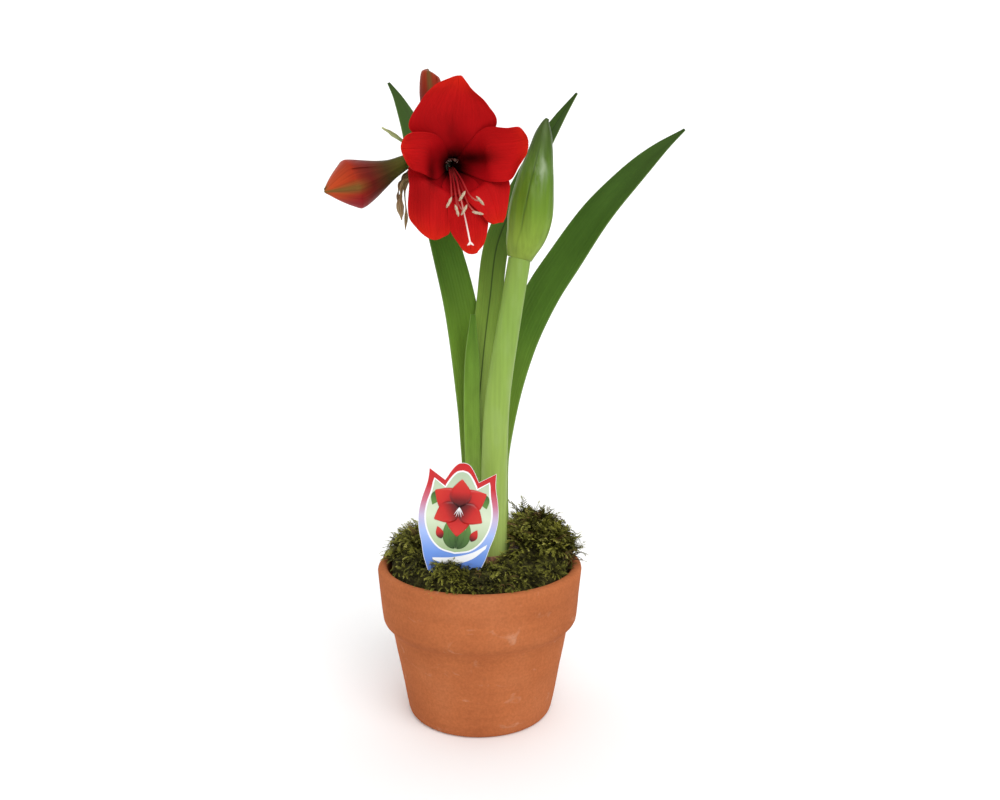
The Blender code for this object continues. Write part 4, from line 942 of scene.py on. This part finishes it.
OPENING_PROFILES = {  # (along the axis, out from it)
    "left": [
        (0.0, 0.48), (1.4, 0.70), (2.4, 1.02), (3.4, 1.42), (4.3, 1.76), (4.75, 1.88), (5.0, 1.86),
        (5.35, 1.62), (5.9, 1.22), (6.5, 0.72), (6.95, 0.28), (7.15, 0.05),
    ],
    "back": [
        (0.0, 0.46), (1.4, 0.60), (2.8, 0.78), (4.2, 0.90), (5.4, 0.92), (6.3, 0.84), (6.9, 0.74),
        (7.15, 0.62), (7.28, 0.36), (7.32, 0.05),
    ],
}
OPENING_ARC = 76.0
OPENING_ROWS = 80
OPENING_COLUMNS = 61
HEART_SIDES = 48
HEART_FIT = 0.93  # of the profile, so that it stays inside the petals
PETAL_LENGTHS = (1.01, 0.985, 0.995)
PETAL_CLEAR = 0.03
KEEL_HEIGHT = 0.10
TIP_FLARE = 0.08
OPENING_THICKNESS = 0.06
# The last column, tone, is painted shade: 1 leaves a bloom's colour as it is, and less darkens it, so the
# back bloom is painted darker.
OPENING_BLOOMS = {  # foot, axis, droop, slant of the tip, directions of the three petals, tone
    "left": (LEFT_FOOT, LEFT_AXIS, 0.30, 0.0, (100, 222, 340), 1.0),
    "back": (BACK_FOOT, BACK_AXIS, 0.0, -0.28, (150, 272, 30), 0.62),
}

opening_red = Finish("opening_petal", 0.52, 0.16)
opening_red.shader.inputs["Specular Tint"].default_value = (1.0, 0.5, 0.3, 1.0)
across, along = opening_red.blade_place()
opening_tone = opening_red.ramp(along, [
    (0.0, (0.06, 0.075, 0.010)), (0.16, (0.055, 0.030, 0.008)), (0.30, (0.13, 0.010, 0.008)),
    (0.50, (0.30, 0.022, 0.008)), (0.84, (0.43, 0.055, 0.014)), (0.95, (0.27, 0.09, 0.018)),
    (1.0, (0.13, 0.10, 0.02)),
])
keel_length = opening_red.ramp(along, [(0.3, 0.0), (0.5, 1.0)])
keel_band = opening_red.ramp(opening_red.from_middle(across), [(0.02, 0.95), (0.13, 0.0)])
for band, tone in ((keel_band, (0.17, 0.088, 0.020)), (opening_red.value("low"), (0.25, 0.006, 0.014))):
    opening_tone = opening_red.mix(opening_red.sums("MULTIPLY", band, keel_length), opening_tone, tone)
opening_veins = opening_red.grain(1.0, (40.0, 2.0, 1.0), along_blade=True, detail=4.0, warp=0.2)
opening_tone = opening_red.mottle(opening_tone, opening_veins, 0.8, 1.18)
# Painted shade: the shade value darkens the petals towards near black.
opening_red.colour(opening_red.mix(opening_red.value("shade"), (0.05, 0.008, 0.004), opening_tone))
opening_red.bump(opening_veins, 0.025, 0.4)

for name, (foot, axis, droop, slant, turns, shade) in OPENING_BLOOMS.items():
    top, side = bloom_axes(axis)
    profile = np.array(OPENING_PROFILES[name])
    spots = np.linspace(0, len(profile) - 1, OPENING_ROWS)
    reach, out = ease(profile[:, 0], spots)[:, None], ease(profile[:, 1], spots)[:, None]
    bow = -top * droop * np.sin(math.pi * np.clip(reach / reach.max(), 0, 1))[..., None]

    def around(turn, radius, length):
        """Places round the bloom's axis, with its droop and slant."""
        spokes = top * np.cos(turn)[..., None] + side * np.sin(turn)[..., None]
        tilt = slant * spokes[..., 0] * np.clip(reach / reach.max(), 0, 1) ** 6
        return foot + axis * (length + tilt)[..., None] + spokes * radius[..., None] + bow

    ring = -np.linspace(0, 2 * math.pi, HEART_SIDES, endpoint=False)[None]
    points, faces, places = stem_mesh(around(ring, out * HEART_FIT, reach))
    places[:, 0] = 0.25  # off the keel
    # The heart, seen between the petals, gets more painted shade.
    values = {"shade": np.full(len(points), 0.55 * shade), "low": np.zeros(len(points))}
    nodes = [f"bloom_{name}"]
    show(f"bloom_{name}_heart", points, faces, opening_red, "opening_petal", nodes, places, values)
    for k, angle in enumerate(turns):
        v = np.linspace(-1, 1, OPENING_COLUMNS)[None]
        t = np.linspace(0, 1, OPENING_ROWS)[:, None]
        arc = np.radians(OPENING_ARC * (1 - 0.45 * np.clip((t - 0.6) / 0.4, 0, 1) ** 2))
        keel = KEEL_HEIGHT * np.exp(-(v**2) / 0.012) * np.sin(math.pi * t)
        wave = 0.03 * np.sin(9 * t + 2 * k) * np.abs(v) ** 3 + 0.07 * v * t
        lift = out + PETAL_CLEAR + keel + wave + TIP_FLARE * np.clip((t - 0.9) / 0.1, 0, 1) ** 2
        length = reach * PETAL_LENGTHS[k] - 0.10 * np.abs(v) ** 2 * t
        middle = around(math.radians(angle) + arc * v, lift, length)
        points, faces, places, is_back = thicken(middle, OPENING_THICKNESS, 0.5)
        low = np.clip(((foot - points) @ top - 0.75) / 0.9, 0, 0.9)
        values = {"shade": np.full(len(points), shade), "low": low}
        piece = f"bloom_{name}_petal_{k}"
        show(piece, points, faces, opening_red, "opening_petal", (), places, values, sharp=70)


# The dry spathe valves and the bracteole.
# Real ones: the bud's two wrappers, now withered to brown paper that hangs from the head in
# shreds, and one thin pale bractlet that stands out between the flower stems.

BRACTS = {
    "spathe_valve_left": dict(
        spine=[
            (-4.16, 1.7, 44.54), (-5.2, 1.3, 44.5), (-5.95, 0.9, 43.9), (-6.25, 0.7, 42.6), (-6.2, 0.6, 40.9),
        ],
        half_widths=[0.22, 0.27, 0.27, 0.25, 0.17, 0.04],
        faces=((0.0, -0.4, 1.0), (-0.6, -1.0, 0.2)), channel=(0.5, 0.7), wave=0.3,
    ),
    "spathe_valve_back": dict(
        spine=[
            (-2.78, 2.67, 44.64), (-2.2, 3.3, 44.6), (-1.85, 3.7, 44.0), (-1.7, 3.9, 42.7),
            (-1.8, 3.85, 41.1),
        ],
        half_widths=[0.25, 0.4, 0.45, 0.42, 0.32, 0.08],
        faces=((0.3, 0.3, 1.0), (0.6, 1.0, 0.2)), channel=(0.4, 0.7), wave=0.3,
    ),
    "bracteole": dict(
        spine=[(-3.9, 2.42, 45.73), (-4.9, 2.15, 46.6), (-6.2, 1.5, 47.2), (-7.75, 1.2, 48.2)],
        half_widths=[0.16, 0.2, 0.19, 0.15, 0.06],
        faces=((0.3, -1.0, 0.6), (0.2, -1.0, 0.3)), channel=(0.5, 0.4), wave=0.1,
    ),
}

paper = Finish("withered_paper", 0.75, 0.2)
paper_grain = paper.grain(1.0, (14.0, 1.6, 1.0), along_blade=True, detail=5.0)
paper.tint(paper_grain, [
    (0.25, (0.10, 0.05, 0.018)), (0.5, (0.30, 0.19, 0.09)), (0.78, (0.60, 0.48, 0.30)),
])
paper.bump(paper_grain, 0.05, 0.8)
bractlet = Finish("bractlet_green", 0.55, 0.3)
bractlet_grain = bractlet.grain(1.0, (10.0, 1.5, 1.0), along_blade=True)
bractlet.tint(bractlet_grain, [(0.3, (0.26, 0.30, 0.10)), (0.7, (0.52, 0.54, 0.28))])

CRUMPLE = 0.05
DRY_THICKNESS = 0.05
SHRED_THICKNESS = 0.035
noise.seed_set(5)  # the crumple is the same each run
for name, facts in BRACTS.items():
    middle = leaf_middle(facts, 60, 21)
    for row in middle:
        for spot in row:
            spot += np.array(noise.noise_vector(Vector(spot) * 2.2)) * CRUMPLE
    points, faces, places, _ = thicken(middle, DRY_THICKNESS, 0.6)
    finish, slot = (bractlet, "bracteole") if name == "bracteole" else (paper, "dry_spathe")
    show(f"dry_{name}" if slot == "dry_spathe" else "bractlet", points, faces, finish, slot, [name], places)

SHREDS = [  # torn strips that hang beside the left valve
    [(-5.0, 1.4, 44.3), (-5.75, 1.0, 44.2), (-5.95, 0.8, 43.0), (-5.85, 0.75, 41.4), (-5.95, 0.7, 40.1)],
    [(-5.1, 1.5, 44.4), (-6.1, 1.2, 44.2), (-6.5, 1.0, 43.1), (-6.42, 0.9, 42.0)],
]
SHRED = dict(
    half_widths=[0.10, 0.13, 0.11, 0.07, 0.02], faces=((0.0, -0.4, 1.0), (-0.3, -1.0, 0.2)),
    channel=(0.4, 0.4), wave=0.25,
)
for k, line in enumerate(SHREDS):
    middle = leaf_middle(dict(SHRED, spine=line), 50, 11)
    points, faces, places, _ = thicken(middle, SHRED_THICKNESS, 0.6)
    show(f"dry_shred_{k + 1}", points, faces, paper, "dry_spathe", (), places)


# The moss.
# Real one: shaggy cushion moss tucked over the compost, olive and brown underneath, with
# curling feathery sprigs that stand up at the back right and hang a little over the rim. The mat
# under the sprigs is its own dark brown, darkened further by painted shade in the gaps, and the
# sprigs carry painted shade that darkens them towards their feet.

SOIL_TOP = 11.0
MOSS_OUTER = 7.45
MOSS_INNER = 3.3
MOSS_SPOKES = 240
MOSS_RINGS = 44
MOSS_RISE = 2.7
MOSS_MOUNDS = [  # where, how high, how wide
    ((4.7, 1.3), 2.1, 10.0), ((-5.0, 1.0), 1.2, 8.0), ((-2.5, -5.9), 0.9, 2.2),
]
MOSS_SHOULDER = 4.9  # beyond this radius it slopes to the rim
MAT_SINK = 0.25  # the mat lies this far below the tufts
MAT_ROUGHNESS = 0.12


def moss_height(x, y):
    """How high the moss stands over a place."""
    rise = MOSS_RISE
    for (mound_x, mound_y), high, wide in MOSS_MOUNDS:
        rise += high * math.exp(-((x - mound_x) ** 2 + (y - mound_y) ** 2) / wide)
    edge = max(0.0, (math.hypot(x, y) - MOSS_SHOULDER) / (MOSS_OUTER - MOSS_SHOULDER))
    rise *= 1.0 - 0.38 * edge**3
    tuft = noise.noise(Vector((x * 0.95, y * 0.95, 3.7))) * 0.42
    tuft += noise.noise(Vector((x * 2.1, y * 2.1, 9.1))) * 0.3
    return SOIL_TOP + rise + tuft


moss_points = []
for i in range(MOSS_SPOKES):
    turn = 2 * math.pi * i / MOSS_SPOKES
    across, up = math.cos(turn), math.sin(turn)
    near = Vector((NECK_CENTRE[0] + MOSS_INNER * across, NECK_CENTRE[1] + MOSS_INNER * up))
    far = Vector((across, up)) * (MOSS_OUTER - 0.1)
    for k in range(MOSS_RINGS):
        spot = near.lerp(far, k / (MOSS_RINGS - 1))
        rough = noise.noise(Vector((spot.x * 4, spot.y * 4, 1.0))) * MAT_ROUGHNESS
        moss_points.append((spot.x, spot.y, moss_height(spot.x, spot.y) - MAT_SINK + rough))
    moss_points.append((far.x, far.y, SOIL_TOP + 0.05))
    moss_points.append((near.x, near.y, SOIL_TOP + 0.05))
moss_faces = loop_faces(MOSS_SPOKES, MOSS_RINGS + 2, ringed=True)

# The mat's own dark brown, darkened further as painted shade in the gaps between sprigs.
moss_mat = Finish("moss_mat", 0.95, 0.15)
moss_mat.tint(moss_mat.grain(3.5, detail=8.0), [
    (0.3, (0.012, 0.010, 0.004)), (0.5, (0.035, 0.032, 0.008)), (0.75, (0.09, 0.085, 0.02)),
])
moss_mat.bump(moss_mat.grain(7.0, detail=8.0), 0.2, 1.0)
show("moss_mat", np.array(moss_points), moss_faces, moss_mat, "moss", ["moss"])

frond_green = Finish("moss_fronds", 0.75, 0.15)
# The shade value is painted shade: dark at each frond's foot and light at its tip, with a tone that differs
# from tuft to tuft.
frond_tone = frond_green.ramp(frond_green.value("shade"), [
    (0.0, (0.014, 0.012, 0.004)), (0.3, (0.060, 0.056, 0.011)), (0.6, (0.155, 0.155, 0.022)),
    (0.85, (0.28, 0.275, 0.042)), (1.0, (0.46, 0.43, 0.11)),
])
frond_tone = frond_green.mottle(frond_tone, frond_green.grain(0.55, detail=3.0), 0.62, 1.25, (0.35, 0.65))
frond_green.colour(frond_green.mix(frond_green.value("dry"), frond_tone, (0.15, 0.085, 0.032)))
FROND_STEPS = 7
FRONDS_EACH = 15
BARBS = 24
FIRST_BARB = 0.10
BARB_SPAN = 0.89
BARB_LENGTH = 0.24
STEM_HALF_WIDTH = 0.022
TUFT_SPREAD = 0.38
ROOT_DEPTH = 0.35


def frond_shape(draw):
    """One feathery frond, 1 long, that grows along +Z and curls over to +X: points and triangles."""
    curl = draw.uniform(0.5, 2.4)
    swing = draw.uniform(-0.5, 0.5)
    stem = [Vector((0.0, 0.0, 0.0))]
    for s in range(FROND_STEPS):
        bend = curl * ((s + 0.5) / FROND_STEPS) ** 1.3
        ahead = Vector((math.sin(bend), swing * s / FROND_STEPS, math.cos(bend)))
        stem.append(stem[-1] + ahead / FROND_STEPS)
    points, faces = [], []
    for s, spot in enumerate(stem):
        width = STEM_HALF_WIDTH * (1 - s / (FROND_STEPS + 2))
        points += [spot + Vector((0, -width, 0)), spot + Vector((0, width, 0))]
    for s in range(FROND_STEPS):
        faces += [(2 * s, 2 * s + 1, 2 * s + 3), (2 * s, 2 * s + 3, 2 * s + 2)]
    for k in range(BARBS):
        s = FIRST_BARB + BARB_SPAN * k / BARBS
        low = min(FROND_STEPS - 1, int(s * FROND_STEPS))
        root = stem[low].lerp(stem[low + 1], s * FROND_STEPS - low)
        ahead = (stem[low + 1] - stem[low]).normalized()
        turn = draw.uniform(-0.6, 0.6)
        out = Vector((math.sin(turn) * 0.7, (1 if k % 2 else -1) * math.cos(turn), 0.0))
        length = BARB_LENGTH * (1.12 - s) * draw.uniform(0.7, 1.25) + 0.05
        tip = root + (ahead * 0.7 + out * 0.75).normalized() * length
        waist = (root + tip) / 2
        flat = ahead.cross(out).normalized() * 0.012 + ahead * 0.026
        first = len(points)
        points += [root, waist + flat, tip, waist - flat]
        faces += [(first, first + 1, first + 2), (first, first + 2, first + 3)]
    heights = [s / FROND_STEPS for s in range(FROND_STEPS + 1) for _ in range(2)]
    for k in range(BARBS):
        heights += [FIRST_BARB + BARB_SPAN * k / BARBS + 0.06 * (corner > 0) for corner in range(4)]
    return np.array(points), np.array(faces), np.array(heights)


draw = random.Random(21)
frond_kinds = [frond_shape(draw) for _ in range(10)]


def grow_clumps(name, count, seed, lengths, upright, accept, dry=0.0):
    """Tufts of fronds over the moss by a seeded draw. Each arches out from the middle of its tuft."""
    draw = random.Random(seed)
    points, faces, shades, dryness, planted, first = [], [], [], [], 0, 0
    while planted < count:
        turn, reach = draw.uniform(0, 2 * math.pi), math.sqrt(draw.random())
        x = math.cos(turn) * reach * (MOSS_OUTER - 0.1)
        y = math.sin(turn) * reach * (MOSS_OUTER - 0.1)
        from_neck = math.hypot(x - NECK_CENTRE[0], y - NECK_CENTRE[1])
        if from_neck < MOSS_INNER or not accept(x, y):
            continue
        planted += 1
        tone, size = draw.uniform(-0.22, 0.16), draw.uniform(*lengths)
        beside = abs(math.cos(turn)) * max(0.0, reach - 0.8) * 4.5
        for _ in range(FRONDS_EACH):
            shape, triangles, heights = frond_kinds[draw.randrange(len(frond_kinds))]
            away = Vector((draw.uniform(-1, 1), draw.uniform(-1, 1), 0.0))
            root = (x + away.x * TUFT_SPREAD, y + away.y * TUFT_SPREAD)
            lean = Vector((away.x * 0.9, away.y * 0.9, upright * draw.uniform(0.5, 1.2)))
            lean += Vector((math.cos(turn), math.sin(turn), 0.0)) * beside
            ahead = lean.normalized()
            over = (away - ahead * away.dot(ahead)).normalized()
            turned = np.array([over, ahead.cross(over), ahead])
            length = size * draw.uniform(0.75, 1.25)
            placed = shape @ turned * length + (*root, moss_height(*root) - ROOT_DEPTH)
            points.append(placed)
            faces.append(triangles + first)
            first += len(placed)
            # Painted shade along each frond, plus the tuft's and the frond's own tone.
            shades.append(np.clip(heights * 0.95 - 0.12 + tone + draw.uniform(-0.15, 0.12), 0, 1))
            dryness.append(np.full(len(placed), 0.85 if draw.random() < dry else 0.0))
    values = {"shade": np.concatenate(shades), "dry": np.concatenate(dryness)}
    show(name, np.vstack(points), np.vstack(faces).tolist(), frond_green, "moss", (), None, values)


def within(centre_x, centre_y, limit):
    """A test for places near a centre. The limit is the squared distance."""
    return lambda x, y: (x - centre_x) ** 2 + (y - centre_y) ** 2 < limit


grow_clumps("moss_fronds_back", 95, 5, (0.8, 1.3), 0.9, lambda x, y: y > 1.0)
grow_clumps("moss_fronds_front", 165, 6, (0.7, 1.15), 0.7, lambda x, y: y < 1.5 and math.hypot(x, y) < 7.1)
grow_clumps("moss_fronds_right", 72, 7, (1.3, 2.2), 1.5, within(4.8, 1.2, 9), 0.12)
grow_clumps("moss_fronds_left", 34, 8, (1.1, 1.8), 1.2, within(-5.2, 1.4, 6), 0.05)
grow_clumps("moss_cushion", 30, 9, (0.7, 1.05), 1.1, within(-2.4, -5.9, 1.8))

WISP_STEPS = 8
WISPS = [  # where, spread, how many, length, how dry
    ((5.0, 1.5), 2.0, 46, 2.3, 0.25), ((-5.2, 1.5), 1.5, 18, 1.6, 0.2), ((6.6, -1.0), 1.2, 24, 1.7, 0.9),
    ((-1.5, -6.3), 1.6, 12, 1.1, 0.5), ((1.9, -6.6), 0.8, 8, 1.2, 0.6),
]
draw = random.Random(33)
wisps, wisp_shades, wisp_dryness = [], [], []
for (x, y), spread, count, length, dry in WISPS:
    for _ in range(count):
        root = (x + draw.uniform(-spread, spread), y + draw.uniform(-spread, spread))
        if math.hypot(*root) > MOSS_OUTER:
            continue
        spot = Vector((*root, moss_height(*root) - 0.2))
        heading, climb = draw.uniform(0, 2 * math.pi), draw.uniform(0.7, 1.4)
        turning, tipping = draw.uniform(-0.7, 0.7), draw.uniform(0.15, 0.6)
        line = [spot]
        for _ in range(WISP_STEPS):
            level = math.cos(climb)
            ahead = Vector((math.cos(heading) * level, math.sin(heading) * level, math.sin(climb)))
            line.append(line[-1] + ahead * length * draw.uniform(0.8, 1.2) / WISP_STEPS)
            heading += turning
            climb -= tipping
        points, faces, places = stem_mesh(stem_rings(line, [0.035, 0.028, 0.02, 0.012], 24, 5))
        wisps.append((points, faces))
        # Painted shade along each wisp, darker at its foot.
        wisp_shades.append(np.clip(places[:, 1] * 0.5 + 0.35, 0, 1))
        wisp_dryness.append(np.full(len(points), 0.9 if draw.random() < dry else 0.0))
values = {"shade": np.concatenate(wisp_shades), "dry": np.concatenate(wisp_dryness)}
show("moss_wisps", *gather(wisps), frond_green, "moss", (), None, values)


# The plant tag.
# Real one: a glossy printed card, cut like a tulip and pushed into the moss on its stake, red at
# the top edge and blue below, with a flower printed on a pale green panel.

TAG_TOP = (-1.12, -4.5, 22.1)
TAG_LEAN_BACK = 6.5
TAG_ROLL = 6.3
TAG_TURN = 4.0
TAG_THICKNESS = 0.08
TAG_CROWN = [(0.0, 0.0), (0.42, -0.10), (0.85, -0.58), (1.32, -1.42)]
TAG_FLANK = [
    (2.62, -0.62), (2.68, -1.7), (2.98, -3.0), (3.12, -4.2), (2.98, -5.4), (2.66, -6.5), (2.4, -7.5),
    (1.95, -8.6),
]
TAG_STAKE = [(1.0, -9.3), (0.62, -9.9), (0.45, -11.6), (0.0, -12.4)]
PANEL_CROWN = [(0.0, -0.72), (0.40, -0.84), (0.78, -1.28), (1.22, -2.05)]
PANEL_FLANK = [
    (2.10, -1.45), (2.22, -2.4), (2.46, -3.4), (2.52, -4.3), (2.34, -5.2), (1.86, -6.1), (1.1, -6.75),
    (0.0, -7.0),
]
TAG_DROP = 9.5  # how far down the printed border's colours run
BLADE_RAISED = 0.012


def tag_space():
    """Where the card stands: flat places on it, as plant centimetres."""
    lean = Matrix.Rotation(math.radians(90 - TAG_LEAN_BACK), 4, "X")
    roll = Matrix.Rotation(math.radians(-TAG_ROLL), 4, "Z")
    turn = Matrix.Rotation(math.radians(TAG_TURN), 4, "Z")
    return Matrix.Translation(Vector(TAG_TOP)) @ turn @ lean @ roll


def card_piece(name, outline, low, high, finish, nodes=()):
    """A flat shape on the card, between two heights over the card's middle."""
    count = len(outline)
    flat = [Vector((x, y, z)) for z in (high, low) for x, y in outline]
    points = np.array([tag_space() @ p for p in flat])
    faces = [tuple(range(count))[::-1], tuple(range(count, 2 * count))]
    faces += [(i, (i + 1) % count, (i + 1) % count + count, i + count) for i in range(count)]
    drop = np.array([-p.y / TAG_DROP for p in flat])
    show(name, points, faces, finish, "tag_card", nodes, None, {"drop": drop}, sharp=30)


def mirrored(half):
    """A half outline, from the crown to the stake, with its other half."""
    return half + [(-x, y) for x, y in half[-2:0:-1]]


def curve_through(points, count):
    """A smooth curve through flat points, as a list of pairs."""
    return [tuple(p) for p in ease(points, np.linspace(0, len(points) - 1, count))]


def inset(outline, amount):
    """A clockwise outline, moved in by an amount."""
    spots = np.array(outline)
    travel = unit(spots - np.roll(spots, 1, 0)) + unit(np.roll(spots, -1, 0) - spots)
    inward = unit(np.stack([travel[:, 1], -travel[:, 0]], 1))
    return [tuple(p) for p in spots + inward * amount]


def printed_blades(name, blades, finish):
    """Leaf-shaped prints, each with its foot, heading in degrees, length, half width, bend and level."""
    turned = np.array(tag_space())
    parts, spots = [], []
    for (x, y), heading, length, half, bend, level in blades:
        t, v = np.linspace(0, 1, 16)[:, None], np.linspace(-1, 1, 7)[None]
        angle = math.radians(heading) + bend * t
        width = half * np.sin(math.pi * np.clip(t * 0.96 + 0.02, 0, 1) ** 0.8) * v
        flat_x = x + length * t * np.sin(angle) + width * np.cos(angle)
        flat_y = y + length * t * np.cos(angle) - width * np.sin(angle)
        flat = np.stack([flat_x, flat_y, np.full_like(flat_x, level)], -1)
        middle = flat @ turned[:3, :3].T + turned[:3, 3]
        points, faces, places, _ = thicken(middle, BLADE_RAISED, 1.0)
        parts.append((points, faces))
        spots.append(places)
    show(name, *gather(parts), finish, "tag_card", (), np.vstack(spots))


def ink(name, stops, along_blade=False):
    """Printed colours that run down the card, or from a printed blade's foot to its tip."""
    made = Finish(name, 0.3, 0.4)
    made.tint(made.blade_place()[1] if along_blade else made.value("drop"), stops)
    return made


card_white = Finish("tag_white", 0.32, 0.45)
card_white.tint(card_white.grain(0.8), [(0.3, (0.80, 0.80, 0.82)), (0.7, (0.86, 0.86, 0.88))])
card = ink("tag_print", [
    (0.0, (0.52, 0.010, 0.010)), (0.20, (0.50, 0.018, 0.024)), (0.33, (0.53, 0.15, 0.22)),
    (0.45, (0.52, 0.44, 0.62)), (0.58, (0.34, 0.46, 0.80)), (0.75, (0.13, 0.27, 0.68)),
    (0.9, (0.07, 0.16, 0.55)), (1.0, (0.75, 0.80, 0.90)),
])
panel = ink("tag_panel", [
    (0.1, (0.42, 0.52, 0.36)), (0.45, (0.62, 0.70, 0.52)), (0.75, (0.30, 0.42, 0.20)),
])
print_red = ink("tag_red_print", [
    (0.0, (0.02, 0.0, 0.001)), (0.25, (0.16, 0.002, 0.003)), (0.55, (0.50, 0.012, 0.010)),
    (1.0, (0.58, 0.03, 0.018)),
], along_blade=True)
print_green = ink("tag_green_print", [(0.0, (0.02, 0.06, 0.01)), (1.0, (0.12, 0.26, 0.05))], along_blade=True)

outline = mirrored(curve_through(TAG_CROWN, 12) + curve_through(TAG_FLANK, 30) + TAG_STAKE)
panel_outline = mirrored(curve_through(PANEL_CROWN, 12) + curve_through(PANEL_FLANK, 30))
face = TAG_THICKNESS / 2
border_top, line_top, panel_top = face + 0.012, face + 0.022, face + 0.032
leaf_level, stem_level = face + 0.040, face + 0.044
petal_level, inner_level, thread_level = face + 0.052, face + 0.060, face + 0.070
card_piece("tag", outline, -face, face, card_white, ["plant_tag"])
card_piece("tag_border", inset(outline, 0.035), face, border_top, card)
card_piece("tag_white_line", inset(panel_outline, -0.13), border_top, line_top, card_white)
card_piece("tag_panel", panel_outline, line_top, panel_top, panel)
ribbon_top = curve_through([(-1.7, -7.55), (-0.2, -7.4), (1.3, -6.95), (2.45, -6.2)], 20)
ribbon_bottom = curve_through([(2.35, -6.55), (1.35, -7.45), (-0.1, -7.95), (-1.65, -7.75)], 20)
card_piece("tag_white_ribbon", ribbon_top + ribbon_bottom, border_top, face + 0.02, card_white)
printed_blades("tag_leaves", [
    ((-0.1, -6.7), -62, 2.5, 0.30, 0.9, leaf_level), ((0.1, -6.7), 62, 2.5, 0.30, -0.9, leaf_level),
    ((-0.1, -6.7), -20, 2.4, 0.26, 0.2, stem_level), ((0.0, -6.7), 0, 3.2, 0.14, 0.0, stem_level),
    ((0.1, -6.7), 20, 2.4, 0.26, -0.2, stem_level), ((-1.7, -2.3), -160, 1.2, 0.4, 0.0, leaf_level),
    ((1.7, -2.3), 160, 1.2, 0.4, 0.0, leaf_level),
], print_green)
heart = (0.0, -3.45)
outer = [(heart, 60 + 120 * k, 2.3, 0.98, 0.0, petal_level) for k in range(3)]
inner = [(heart, 120 * k, 2.15, 0.86, 0.0, inner_level) for k in range(3)]
buds = [((1.15, -6.05), 24, 1.0, 0.30, 0.0, petal_level), ((-1.15, -6.0), -24, 1.0, 0.30, 0.0, petal_level)]
printed_blades("tag_flower", outer + inner + buds, print_red)
printed_blades("tag_flower_threads", [
    (heart, 150 + 15 * k, 0.75 + 0.1 * (k % 2), 0.03, 0.0, thread_level) for k in range(5)
], card_white)
